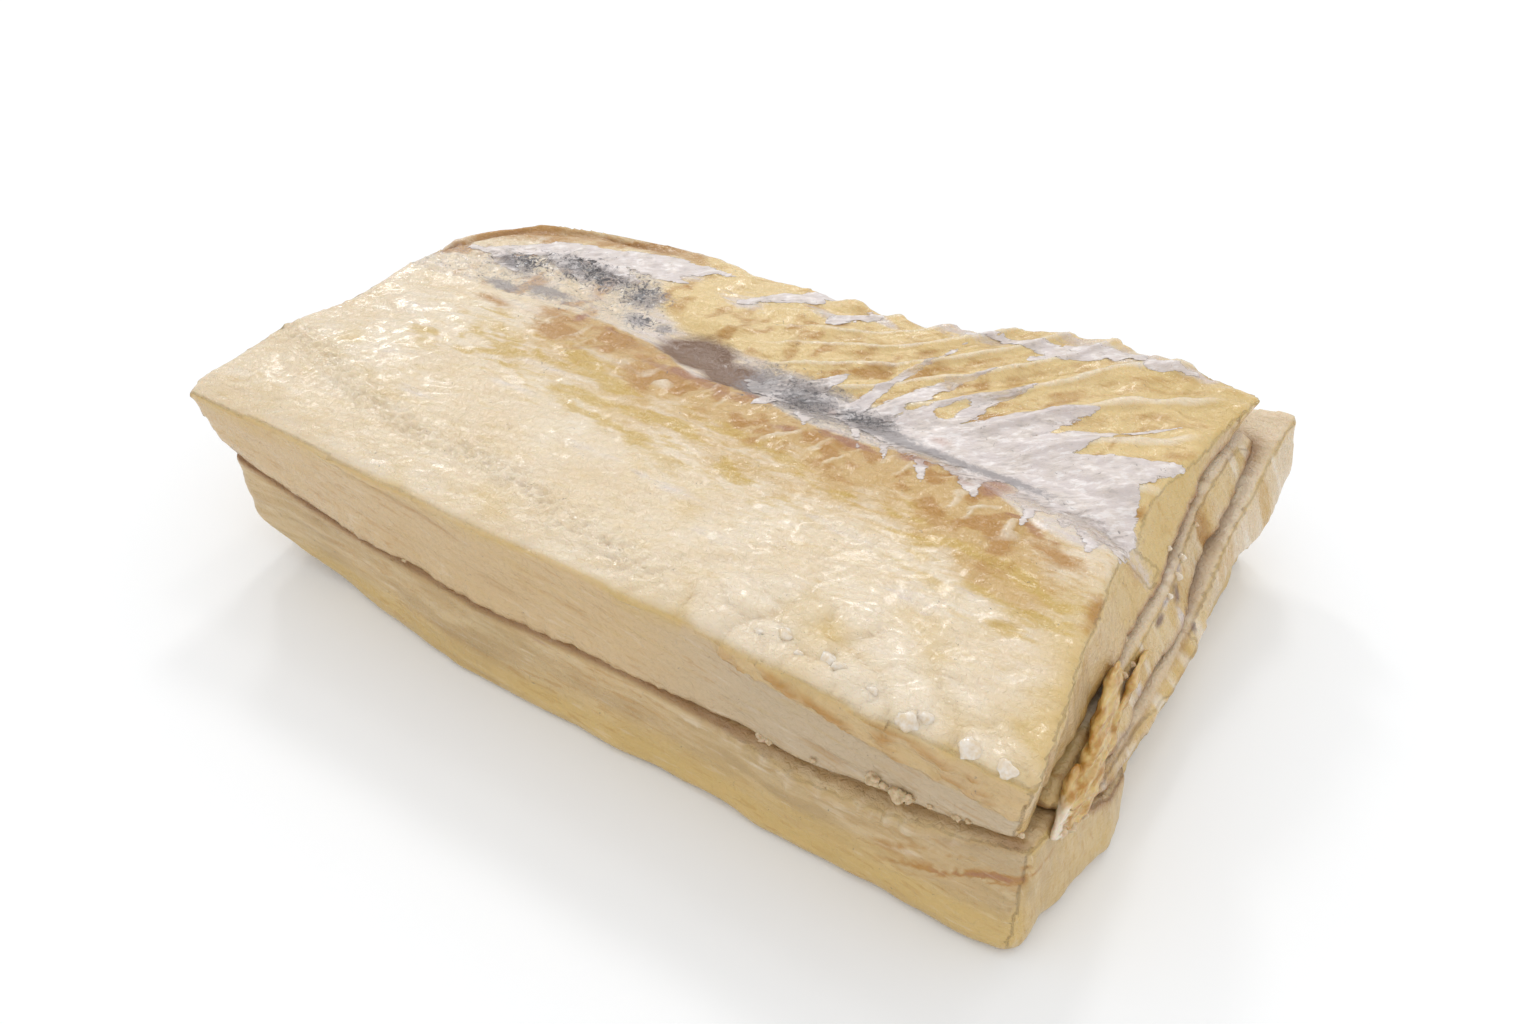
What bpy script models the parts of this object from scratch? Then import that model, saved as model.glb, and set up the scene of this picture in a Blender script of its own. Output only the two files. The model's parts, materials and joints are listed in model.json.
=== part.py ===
"""Salted dried cod: a block of salt-cured fillets, stacked, pressed together and cut flush.

Two thick loins lie on each other, the upper one with the open belly side up. Two thinner flaps are
folded in between them and show at the wide cut end. +X runs along the block to the wide cut end,
-Y is the long cut front and +Z is up. The origin is the middle of the flat underside. The numbers
and functions below count from a point a little in front of it, and the last step moves the block.
"""

import bmesh
import bpy
import numpy as np

# Overall sizes of the block, in metres.
LEFT_END = -0.1480
RIGHT_END = 0.1415
FRONT = -0.0895
HEIGHT = 0.0600
DEPTH_NARROW = 0.1545
DEPTH_WIDE = 0.1805
DEPTH_WAVE = 0.0012

# The back edge falls in again towards the corner of the wide end.
BACK_FALL = 0.0060

# The front bulges at its foot, up to this height, and is slightly wavy.
FRONT_BULGE = 0.0064
FRONT_BULGE_HEIGHT = 0.0280
FRONT_WAVES = (0.0005, 0.0003)

# The middle of the underside in the numbers here: it becomes the origin.
MIDDLE = (0.0002, 0.0022)

# Gap that neighbouring slabs keep, and the thinnest edge of a folded flap.
GAP = 0.0010
FLAP_EDGE = 0.0016

# The seam under the upper loin: its height along the front, and how it rises from there.
SEAM_FRONT = 0.0280
SEAM_RISE_LEFT = 0.0170
SEAM_RISE_RIGHT = 0.0090
SEAM_RISE_INSIDE = 0.0030
SEAM_RISE_BACK = 0.0140
SEAM_FALL_BACK = 0.0040
SEAM_RISE_NARROW = 0.0080
SEAM_WAVE = 0.0007

# How far the seam gapes along the front of the wide half.
PARTING = 0.0030

# The narrow end: its top hangs over, most of all in front, and its foot is drawn in.
LEFT_OVERHANG = 0.0070
LEFT_OVERHANG_FRONT = 0.0080
LEFT_FOOT = 0.0060
LEFT_STEP = 0.0042
LEFT_BULGE = 0.0012

# The folded flaps at the wide end.
UPPER_FLAP_THICK = 0.0140
LOWER_FLAP_THICK = 0.0046
LOWER_FLAP_SWELL = 0.0140

# How far each flap's edges lie inside the block: along from the left end in metres, across from
# the front as a share of the depth, and how far its back edge stands out at the wide end.
UPPER_FLAP_INSET = (0.028, 0.070, -0.003)
LOWER_FLAP_INSET = (0.034, 0.150, 0.011)

# The wide cut end: a hollow along its top edge, and lower layers that stick out.
HOLLOW_DEPTH = 0.0148
HOLLOW_AT = 0.0100
TOP_END = 0.1370
TOP_END_LOW = 0.1340
UPPER_FLAP_END = 0.1420
LOWER_FLAP_END = 0.1445
FOOT_END = 0.1484
FOOT_CORNER = 0.0080
FOOT_DRAWN_IN = 0.0045
BACK_STEP = 0.0025
LOWER_FLAP_BULGE = 0.0045
LOWER_FLAP_STEP = 0.0050

# The lifted front corner of the narrow end, and the curl of the flap behind the upper loin.
CORNER_LIFT = 0.0140
FLAP_CURL = 0.0040
FLAP_CLEAR = 0.0925

# The backbone channel in the top, and the rib ridges behind it.
CHANNEL_DEPTH = 0.0035
CHANNEL_HALF = 0.0095
RIB_HEIGHT = 0.0013
RIB_PITCH = 0.0240

# The rest of the top's relief: a soft swell, lumps along the front, and a pocket at the wide end.
SWELL_HEIGHT = 0.0008
LUMP_HEIGHT = 0.0007
POCKET_DEPTH = 0.0040
POCKET_AT = (0.1200, 0.0060)
EDGE_FALL = 0.0012

# Rounded corners of the plan, as shares of the block's length and depth.
BACK_LEFT_ROUND = (0.26, 0.35)
FRONT_LEFT_ROUND = (0.006, 0.010)
BACK_RIGHT_ROUND = (0.020, 0.040)


def ease(start, end, value):
    """0 before start, 1 after end, and a smooth rise between them."""
    t = np.clip((value - start) / (end - start), 0.0, 1.0)
    return t * t * (3.0 - 2.0 * t)


def bump(centre, half_width, value):
    """A smooth bump of height 1 round centre."""
    return np.exp(-(((value - centre) / half_width) ** 2))


# Plan of the block ------------------------------------------------------------------------------


def depth_at(x):
    """Depth of the block from its front to its back edge: it widens towards the wide end."""
    widening = (DEPTH_WIDE - DEPTH_NARROW) * ease(0.014, 0.094, x)
    corner = BACK_FALL * ease(0.104, 0.136, x)
    wave = DEPTH_WAVE * np.sin(x / 0.0105 + 1.0)
    return DEPTH_NARROW + widening - corner + wave


def front_at(x, z):
    """Front face: straight above and bulging at the foot."""
    low = np.clip(1.0 - z / FRONT_BULGE_HEIGHT, 0.0, 1.0)
    bulge = FRONT_BULGE * low * ease(-0.105, -0.035, x) * (1.0 - ease(0.134, 0.150, x))
    long_wave, short_wave = FRONT_WAVES
    wave = long_wave * np.sin(x / 0.021) + short_wave * np.sin(x / 0.0083 + 2.0)
    return FRONT - bulge + wave


def left_end_at(y, z):
    """Narrow end: wavy, with the foot drawn in below an overhanging top, most of all in front."""
    front_share = 1.0 - ease(-0.080, -0.010, y)
    overhang = (LEFT_OVERHANG + LEFT_OVERHANG_FRONT * front_share) * (1.0 - ease(0.038, 0.058, z))
    foot = LEFT_FOOT * np.clip(1.0 - z / 0.026, 0.0, 1.0) ** 2
    wave = LEFT_STEP * ease(-0.034, -0.016, y) - LEFT_BULGE * bump(-0.044, 0.016, y)
    return LEFT_END + wave + overhang + foot


def hollow_edge(y):
    """Top edge of the wide end, furthest in near its middle."""
    before = np.clip((HOLLOW_AT - y) / 0.096, 0.0, 1.2) ** 1.15
    behind = np.clip((y - HOLLOW_AT - 0.006) / 0.068, 0.0, 1.2) ** 1.3
    drawn_in = 1.0 - np.maximum(before, 0.87 * behind)
    return TOP_END - HOLLOW_DEPTH * drawn_in + 0.0006 * np.sin(y / 0.0062)


def top_end(y, w):
    """Wide end of the upper loin, from its lower edge (w = 0) to the hollow top edge (w = 1)."""
    low = TOP_END_LOW - BACK_STEP * ease(0.016, 0.036, y) + 0.0006 * np.sin(y / 0.0048)
    return low + (hollow_edge(y) - low) * w


def upper_flap_end(y, w):
    low = UPPER_FLAP_END - 0.0028 * ease(0.010, 0.040, y) + 0.0008 * np.sin(y / 0.0071)
    high = TOP_END_LOW + 0.0016 - BACK_STEP * ease(0.016, 0.036, y)
    return low + (high - low) * w


def lower_flap_end(y, w):
    """It bulges in the middle and again behind, where it stands out past the upper loin."""
    middle = LOWER_FLAP_BULGE * bump(0.008, 0.030, y)
    low = LOWER_FLAP_END + middle + LOWER_FLAP_STEP * ease(0.045, 0.066, y)
    high = UPPER_FLAP_END + 0.0006 + 0.0006 * ease(0.010, 0.040, y) + 0.0030 * ease(0.074, 0.090, y)
    return low + (high - low) * w


def bottom_end(y, w):
    """It stands out at the front corner and is drawn in under the flaps."""
    corner = FOOT_CORNER * (1.0 - ease(-0.0935, -0.0485, y))
    foot = FOOT_END - corner - FOOT_DRAWN_IN * ease(-0.044, -0.028, y)
    return foot - 0.0025 * w + 0.0006 * np.sin(y / 0.0083 + 0.6)


def round_corner(u, v, share, at_right, at_back):
    """Turns one corner of the unit square into a quarter of an ellipse, smoothly inside."""
    du = (u - 1.0 + share[0]) / share[0] if at_right else (share[0] - u) / share[0]
    dv = (v - 1.0 + share[1]) / share[1] if at_back else (share[1] - v) / share[1]
    inside = (du > 0.0) & (dv > 0.0)
    s = np.where(inside, du * np.sqrt(1.0 - np.clip(dv, 0.0, 1.0) ** 2 / 2.0), du) * share[0]
    t = np.where(inside, dv * np.sqrt(1.0 - np.clip(du, 0.0, 1.0) ** 2 / 2.0), dv) * share[1]
    u = 1.0 - share[0] + s if at_right else share[0] - s
    v = 1.0 - share[1] + t if at_back else share[1] - t
    return u, v


# Seams between the slabs ------------------------------------------------------------------------


def wide_y(v):
    """The place across the block, as it would be at the wide end."""
    return FRONT + v * DEPTH_WIDE


def seam_under_top(x, v):
    """Underside of the upper loin."""
    y = wide_y(v)
    left = SEAM_RISE_LEFT * np.clip((-0.063 - x) / 0.080, 0.0, 1.0) ** 2 * (1.0 - ease(0.0, 0.4, v))
    right = SEAM_RISE_RIGHT * np.clip((x - 0.057) / 0.080, 0.0, 1.1) ** 2
    wide = ease(-0.030, 0.120, x)
    level = SEAM_RISE_INSIDE * ease(-0.086, -0.070, y) * wide
    back = SEAM_RISE_BACK * ease(0.012, 0.056, y) * wide - SEAM_FALL_BACK * ease(0.058, 0.088, y) * wide
    narrow_back = SEAM_RISE_NARROW * ease(-0.060, 0.060, y) * (1.0 - wide)
    wave = SEAM_WAVE * np.sin(x / 0.016 + 9.0 * v)
    return SEAM_FRONT + left + right + level + back + narrow_back + wave


def flap_share(x):
    """How thick the folded flaps are along the block, as a share of the wide end."""
    return ease(-0.122, -0.070, x) * (0.40 + 0.60 * ease(0.000, 0.130, x))


def flap_room(x, y, left, front):
    """Room for a flap's thin edge, over the flap's own area and just past it."""
    over_flap = ease(left - 0.020, left - 0.012, x) * ease(front - 0.007, front - 0.001, y)
    return (FLAP_EDGE + GAP) * over_flap


def upper_flap_thickness(x, v):
    y = wide_y(v)
    before = np.clip((0.008 - y) / 0.084, 0.0, 1.0) ** 3
    behind = np.clip((y - 0.008) / 0.082, 0.0, 1.0) ** 4
    across = 1.0 - before - behind
    room = flap_room(x, y, LEFT_END + UPPER_FLAP_INSET[0], FRONT + UPPER_FLAP_INSET[1] * DEPTH_WIDE)
    return UPPER_FLAP_THICK * across * flap_share(x) + room


def lower_flap_thickness(x, v):
    y = wide_y(v)
    across = LOWER_FLAP_THICK * ease(-0.066, -0.046, y) + LOWER_FLAP_SWELL * ease(0.000, 0.085, y)
    room = flap_room(x, y, LEFT_END + LOWER_FLAP_INSET[0], FRONT + LOWER_FLAP_INSET[1] * DEPTH_WIDE)
    return across * flap_share(x) + room


def seam_under_upper_flap(x, v):
    return seam_under_top(x, v) - upper_flap_thickness(x, v)


def seam_under_lower_flap(x, v):
    return seam_under_upper_flap(x, v) - lower_flap_thickness(x, v)


def front_parting(x, v):
    """The seam gapes along the front of the wide half."""
    along = ease(0.055, 0.075, x) * (1.0 - ease(0.122, 0.138, x))
    return PARTING * along * (1.0 - ease(0.0, 0.07, v))


# Relief of the top ------------------------------------------------------------------------------


def channel_line(x):
    """Where the backbone channel runs across the top."""
    return 0.0125 + 0.0130 * bump(-0.075, 0.035, x) - 0.0090 * ease(0.095, 0.125, x)


def top_relief(x, y):
    """Height of the top above or below its level."""
    off = y - channel_line(x)
    channel = -CHANNEL_DEPTH * bump(0.0, CHANNEL_HALF, off) * ease(-0.135, -0.060, x)
    slant = 2.4 - 1.4 * ease(-0.010, 0.100, x)
    ribs = np.sin(2.0 * np.pi * (x - slant * off) / RIB_PITCH)
    ribs = RIB_HEIGHT * ribs * ease(0.008, 0.022, off) * ease(-0.060, 0.000, x)
    ribs = ribs * (1.0 - ease(0.100, 0.125, x))
    swell = SWELL_HEIGHT * bump(-0.045, 0.030, y)
    lumps = LUMP_HEIGHT * np.sin(x / 0.0046) * np.sin(y / 0.0040 + x / 0.011)
    lumps = lumps * ease(0.010, 0.040, x) * (1.0 - ease(-0.062, -0.048, y))
    pocket = -POCKET_DEPTH * bump(POCKET_AT[0], 0.0060, x) * bump(POCKET_AT[1], 0.0100, y)
    falling_edge = -EDGE_FALL * (1.0 - ease(0.0, 0.010, y - FRONT))
    return channel + ribs + swell + lumps + pocket + falling_edge


# Slabs ------------------------------------------------------------------------------------------


class Slab:
    """One layer of the block: a rounded box that is bent into its place."""

    def __init__(self, name, cells, rim, inset, faces, end):
        self.name = name
        self.cells = cells
        self.rim = rim
        self.inset = inset
        self.faces = faces
        self.end = end

    def place(self, u, v, w):
        """Places on the slab for shares u along, v across and w up."""
        left_inset, front_inset, back_out = self.inset
        v_wide = v
        for share, at_right, at_back in (
            (BACK_LEFT_ROUND, False, True),
            (FRONT_LEFT_ROUND, False, False),
            (BACK_RIGHT_ROUND, True, True),
        ):
            u, v_wide = round_corner(u, v_wide, share, at_right, at_back)
        x = LEFT_END + left_inset + u * (RIGHT_END - LEFT_END - left_inset)
        v_block = front_inset + v_wide * (1.0 - front_inset)
        low, high = self.faces(x, v_block)
        z = low + w * (high - low)
        y = wide_y(v_block)
        left = left_end_at(y, z) + left_inset
        x = left + u * (self.end(y, w) - left)
        y = front_at(x, z) + v_block * depth_at(x)
        y = y + back_out * ease(0.6, 1.0, v_block) * ease(0.020, 0.110, x)
        low, high = self.faces(x, (y - front_at(x, z)) / depth_at(x))
        z = low + w * (high - low)
        if self.name == "top_loin":
            z = z + w * top_relief(x, y)
        elif self.name == "lower_flap":
            z = z + w * FLAP_CURL * ease(FLAP_CLEAR, FLAP_CLEAR + 0.007, y)
        return np.stack([x - MIDDLE[0], y - MIDDLE[1], z], axis=1)


def top_faces(x, v):
    return seam_under_top(x, v) + GAP / 2.0, np.full_like(x, HEIGHT)


def upper_flap_faces(x, v):
    return seam_under_upper_flap(x, v) + GAP / 2.0, seam_under_top(x, v) - GAP / 2.0


def lower_flap_faces(x, v):
    return seam_under_lower_flap(x, v) + GAP / 2.0, seam_under_upper_flap(x, v) - GAP / 2.0


def bottom_faces(x, v):
    along = np.clip((-0.090 - x) / 0.043, 0.0, 1.0) ** 1.2
    low = CORNER_LIFT * along * (1.0 - ease(-0.085, -0.035, wide_y(v)))
    return low, seam_under_lower_flap(x, v) - GAP / 2.0 - front_parting(x, v)


SLABS = (
    Slab("bottom_loin", (26, 19, 4), 0.0040, (0.000, 0.000, 0.002), bottom_faces, bottom_end),
    Slab("lower_flap", (16, 17, 3), 0.0020, LOWER_FLAP_INSET, lower_flap_faces, lower_flap_end),
    Slab("upper_flap", (16, 19, 3), 0.0020, UPPER_FLAP_INSET, upper_flap_faces, upper_flap_end),
    Slab("top_loin", (38, 23, 4), 0.0030, (0.000, 0.000, 0.000), top_faces, top_end),
)

# The plain box that each slab starts as, before it is bent into its place.
NOMINAL = np.array([0.285, 0.170, 0.028])

# Where the one edge loop within each rounded rim lies, as a share of the rim.
RIM_LOOP = 0.45

# Extra edge loops of the bottom loin, just in front of the folded flaps' front edges.
FLAP_LOOPS = (0.066, 0.146)


def loops(count, length, rim):
    """Places of the edge loops along one side: close together in the rounded rims."""
    inner = np.linspace(rim, length - rim, count - 3)
    return [rim * RIM_LOOP, *inner, length - rim * RIM_LOOP]


def rounded_shares(points, rim):
    """Points of a plain box moved onto the same box with rounded edges, as shares of its sides."""
    inner = np.clip(points, rim, NOMINAL - rim)
    away = points - inner
    reach = np.linalg.norm(away, axis=1, keepdims=True)
    return (inner + away * rim / np.maximum(reach, rim)) / NOMINAL


def unit_box(slab):
    """A plain box with the slab's edge loops cut into it."""
    bm = bmesh.new()
    bmesh.ops.create_cube(bm, size=1.0)
    bmesh.ops.translate(bm, verts=bm.verts, vec=(0.5, 0.5, 0.5))
    bmesh.ops.scale(bm, verts=bm.verts, vec=NOMINAL)
    for axis, count in enumerate(slab.cells):
        normal = np.eye(3)[axis]
        flap_edges = FLAP_LOOPS if slab.name == "bottom_loin" and axis == 1 else ()
        shares = [share * NOMINAL[axis] for share in flap_edges]
        for at in [*loops(count, NOMINAL[axis], slab.rim), *shares]:
            everything = [*bm.verts, *bm.edges, *bm.faces]
            bmesh.ops.bisect_plane(bm, geom=everything, plane_co=normal * at, plane_no=normal)
    return bm


def flesh_material(name, colour, roughness):
    material = bpy.data.materials.new(name)
    material.use_nodes = True
    shader = material.node_tree.nodes["Principled BSDF"]
    shader.inputs["Base Color"].default_value = (*colour, 1.0)
    shader.inputs["Roughness"].default_value = roughness
    shader.inputs["Metallic"].default_value = 0.0
    return material


def build_slab(slab, collection, material):
    bm = unit_box(slab)
    points = np.array([vert.co[:] for vert in bm.verts])
    shares = rounded_shares(points, slab.rim)
    for vert, place in zip(bm.verts, slab.place(*shares.T), strict=True):
        vert.co = place
    bmesh.ops.recalc_face_normals(bm, faces=bm.faces)
    mesh = bpy.data.meshes.new(slab.name)
    bm.to_mesh(mesh)
    bm.free()
    mesh.shade_smooth()
    mesh.materials.append(material)
    obj = bpy.data.objects.new(slab.name, mesh)
    collection.objects.link(obj)
    return obj


def main():
    for obj in list(bpy.data.objects):
        bpy.data.objects.remove(obj)
    collection = bpy.data.collections.new("salted_dried_cod")
    bpy.context.scene.collection.children.link(collection)
    materials = {
        "bottom_loin": flesh_material("olive_cream_flesh", (0.60, 0.47, 0.27), 0.42),
        "lower_flap": flesh_material("pale_flap_flesh", (0.64, 0.49, 0.30), 0.40),
        "upper_flap": flesh_material("amber_flap_flesh", (0.62, 0.45, 0.23), 0.40),
        "top_loin": flesh_material("cream_flesh", (0.72, 0.57, 0.34), 0.36),
    }
    for slab in SLABS:
        build_slab(slab, collection, materials[slab.name])


main()
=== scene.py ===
"""Salted dried cod: the looks of a block of pressed, salt-cured fillets.

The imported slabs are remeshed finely, carved with fibres, flakes, folds and torn edges, and dressed with
the belly membrane, salt crystals, crumbs and loose skins. +X runs along the block, -Y is the front.
"""

import bmesh
import bpy
import json
import math
import numpy as np
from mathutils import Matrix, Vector
from mathutils.bvhtree import BVHTree

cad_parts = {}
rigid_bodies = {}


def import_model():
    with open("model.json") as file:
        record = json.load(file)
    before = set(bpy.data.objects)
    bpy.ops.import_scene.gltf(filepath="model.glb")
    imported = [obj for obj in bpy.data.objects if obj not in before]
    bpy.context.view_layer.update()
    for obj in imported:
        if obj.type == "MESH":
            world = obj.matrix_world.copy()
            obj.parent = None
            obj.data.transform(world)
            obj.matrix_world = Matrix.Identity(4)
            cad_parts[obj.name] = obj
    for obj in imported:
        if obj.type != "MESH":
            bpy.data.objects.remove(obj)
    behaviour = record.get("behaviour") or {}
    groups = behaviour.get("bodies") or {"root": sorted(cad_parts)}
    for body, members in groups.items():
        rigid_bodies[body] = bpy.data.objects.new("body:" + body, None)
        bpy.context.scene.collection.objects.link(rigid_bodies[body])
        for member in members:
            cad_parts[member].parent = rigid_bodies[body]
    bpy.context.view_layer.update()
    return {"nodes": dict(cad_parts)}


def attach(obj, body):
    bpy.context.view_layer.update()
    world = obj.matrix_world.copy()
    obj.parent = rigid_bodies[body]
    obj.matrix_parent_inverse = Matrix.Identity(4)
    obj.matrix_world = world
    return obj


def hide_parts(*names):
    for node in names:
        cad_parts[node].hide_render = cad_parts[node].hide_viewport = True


for leftover in list(bpy.data.objects):
    bpy.data.objects.remove(leftover)

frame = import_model()

bl_info = {
    "name": "Salted dried cod",
    "version": (1, 0, 0),
    "blender": (4, 5, 0),
    "location": "View3D > Sidebar > Salt cod",
    "description": "Dresses a block of salted dried cod around its packed slabs",
    "category": "Object",
}

MM = 0.001
SMOOTHED_OVER = 0.0040


# Curves and noise for arrays of points -----------------------------------------------------------


def ease(start, end, value):
    """0 before start, 1 after end, and a smooth rise between them."""
    t = np.clip((value - start) / (end - start), 0.0, 1.0)
    return t * t * (3.0 - 2.0 * t)


def bump(centre, half_width, value):
    """A smooth bump of height 1 round centre."""
    return np.exp(-(((value - centre) / half_width) ** 2))


def course(value, stops):
    """A smooth line through a few (place, height) stops, in millimetres, read at places in metres."""
    at, height = np.array(stops, float).T * MM
    slope = np.gradient(height, at)
    i = np.clip(np.searchsorted(at, value) - 1, 0, len(at) - 2)
    width = at[i + 1] - at[i]
    t = np.clip((value - at[i]) / width, 0.0, 1.0)
    start = (1.0 + 2.0 * t) * (1.0 - t) ** 2 * height[i] + t * (1.0 - t) ** 2 * width * slope[i]
    return start + t**2 * (3.0 - 2.0 * t) * height[i + 1] + t**2 * (t - 1.0) * width * slope[i + 1]


NOISE_ORDER = np.random.default_rng(7).permutation(256)
NOISE_SLOPES = np.random.default_rng(8).normal(size=(256, 3))
NOISE_SLOPES /= np.linalg.norm(NOISE_SLOPES, axis=1, keepdims=True)


def lattice(cell, seed):
    """A fixed random index from 0 to 255 for each lattice cell."""
    index = NOISE_ORDER[(cell[:, 0] + seed) & 255]
    index = NOISE_ORDER[(index + cell[:, 1]) & 255]
    return NOISE_ORDER[(index + cell[:, 2]) & 255]


def grain(points, size, seed=0, octaves=1):
    """Smooth noise from about -1 to 1, with features of the given size."""
    total = np.zeros(len(points))
    for octave in range(octaves):
        at = points / size * 2.0**octave
        base = np.floor(at).astype(int)
        part = at - base
        soft = part**3 * (part * (part * 6.0 - 15.0) + 10.0)
        value = np.zeros(len(points))
        for corner in np.ndindex(2, 2, 2):
            slope = NOISE_SLOPES[lattice(base + corner, seed + 37 * octave)]
            weight = np.prod(np.where(corner, soft, 1.0 - soft), axis=1)
            value += weight * np.einsum("ij,ij->i", slope, part - corner)
        total += value * 1.7 * 0.5**octave
    return total


def cells(points, size, seed=0):
    """Distance to the nearest scattered point in a plane, 0 at the point and about 1 between two."""
    flat = points[:, :2] / size
    base = np.floor(flat).astype(int)
    best = np.full((len(points), 2), 9.0)
    for across in np.ndindex(3, 3):
        cell = np.column_stack([base + np.array(across) - 1, np.zeros(len(points), int)])
        spot = cell[:, :2] + 0.5 + 0.42 * NOISE_SLOPES[lattice(cell, seed)][:, :2]
        away = np.linalg.norm(flat - spot, axis=1)
        best[:, 1] = np.where(away < best[:, 0], best[:, 0], np.minimum(best[:, 1], away))
        best[:, 0] = np.minimum(best[:, 0], away)
    return best[:, 0], best[:, 1] - best[:, 0]


def turned(points, degrees, stretch):
    """Points in a frame turned in plan, shortened along its first axis so that noise there runs long."""
    angle = math.radians(degrees)
    along = points[:, 0] * math.cos(angle) + points[:, 1] * math.sin(angle)
    across = points[:, 1] * math.cos(angle) - points[:, 0] * math.sin(angle)
    return np.column_stack([along / stretch, across, points[:, 2]])


def blot(x, y, spots):
    """Rounded patches, each given as place along, place across, and half its length and width, in mm."""
    total = np.zeros(len(x))
    for along, across, length, width in spots:
        away = ((x / MM - along) / length) ** 2 + ((y / MM - across) / width) ** 2
        total = np.maximum(total, np.exp(-away))
    return total


# Meshes ------------------------------------------------------------------------------------------


def link(name, mesh, material):
    """A new piece of the object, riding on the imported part."""
    piece = bpy.data.objects.new(name, mesh)
    bpy.context.scene.collection.objects.link(piece)
    mesh.materials.clear()
    mesh.materials.append(material)
    mesh.shade_smooth()
    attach(piece, "root")
    return piece


def solidified(piece, *modifiers):
    """Applies modifiers, each given as a type and its settings, to a piece's mesh."""
    for kind, settings in modifiers:
        modifier = piece.modifiers.new(kind.title(), kind)
        for key, value in settings.items():
            setattr(modifier, key, value)
    graph = bpy.context.evaluated_depsgraph_get()
    mesh = bpy.data.meshes.new_from_object(piece.evaluated_get(graph))
    old = piece.data
    piece.modifiers.clear()
    piece.data = mesh
    bpy.data.meshes.remove(old)
    return mesh


def read(data, key, width=3):
    values = np.empty(len(data) * width, np.int32 if key == "vertices" else np.float32)
    data.foreach_get(key, values)
    return values.reshape(-1, width).astype(float)


def mark(mesh, name, values):
    """Stores a value for each vertex, which the materials read by name."""
    vector = np.ndim(values) == 2
    layer = mesh.attributes.new(name, "FLOAT_VECTOR" if vector else "FLOAT", "POINT")
    layer.data.foreach_set("vector" if vector else "value", np.ascontiguousarray(values, np.float32).ravel())


def sheet_mesh(name, rows):
    """A mesh through a grid of points, given as an array of rows of points."""
    count, width = rows.shape[:2]
    index = np.arange(count * width).reshape(count, width)
    quads = np.stack([index[:-1, :-1], index[:-1, 1:], index[1:, 1:], index[1:, :-1]], axis=-1)
    mesh = bpy.data.meshes.new(name)
    mesh.from_pydata(rows.reshape(-1, 3).tolist(), [], quads.reshape(-1, 4).tolist())
    return mesh


class Body:
    """A packed slab as a fine mesh that is carved and marked point by point."""

    def __init__(self, node, voxel):
        source = frame["nodes"][node]
        mesh = source.data.copy()
        self.node = node
        self.piece = bpy.data.objects.new(node + "_flesh", mesh)
        bpy.context.scene.collection.objects.link(self.piece)
        bm = bmesh.new()
        bm.from_mesh(mesh)
        bmesh.ops.remove_doubles(bm, verts=bm.verts, dist=1e-5)
        bm.to_mesh(mesh)
        bm.free()
        remesh = {"mode": "VOXEL", "voxel_size": voxel, "adaptivity": 0.0}
        rounds = max(2, round(SMOOTHED_OVER / voxel) ** 2 // 2)
        self.mesh = solidified(self.piece, ("REMESH", remesh), ("SMOOTH", {"iterations": rounds}))
        self.points = read(self.mesh.vertices, "co")
        self.normals = read(self.mesh.vertex_normals, "vector")
        self.rest = self.points.copy()
        self.marks = {}

    @property
    def x(self):
        return self.rest[:, 0]

    @property
    def y(self):
        return self.rest[:, 1]

    @property
    def z(self):
        return self.rest[:, 2]

    def faces(self, axis, sign, low=0.35, high=0.75):
        """1 where the surface faces along an axis, and 0 where it faces away."""
        return ease(low, high, sign * self.normals[:, axis])

    def raise_by(self, height):
        self.points += self.normals * height[:, None]

    def move(self, axis, amount):
        self.points[:, axis] += amount

    def finished(self, material):
        """Puts the carved points and the marks on the piece, which then stands for the slab."""
        self.mesh.vertices.foreach_set("co", self.points.astype(np.float32).ravel())
        for name, values in self.marks.items():
            mark(self.mesh, name, values)
        self.mesh.materials.clear()
        self.mesh.materials.append(material)
        self.mesh.shade_smooth()
        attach(self.piece, "root")
        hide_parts(self.node)
        return self.piece


# Materials ---------------------------------------------------------------------------------------


class Value:
    """A number socket of a material: sums on it add Math nodes."""

    def __init__(self, finish, socket):
        self.finish = finish
        self.socket = socket

    def sum(self, operation, *terms):
        node = self.finish.node("ShaderNodeMath", {"operation": operation}, dict(enumerate(terms)))
        return Value(self.finish, node.outputs[0])

    def __add__(self, other):
        return self.sum("ADD", self, other)

    def __sub__(self, other):
        return self.sum("SUBTRACT", self, other)

    def __rsub__(self, other):
        return self.sum("SUBTRACT", other, self)

    def __mul__(self, other):
        return self.sum("MULTIPLY", self, other)

    def __truediv__(self, other):
        return self.sum("DIVIDE", self, other)

    def __pow__(self, other):
        return self.sum("POWER", self, other)

    def clamped(self):
        return self.sum("MINIMUM", self.sum("MAXIMUM", self, 0.0), 1.0)

    __radd__ = __add__
    __rmul__ = __mul__


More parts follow.
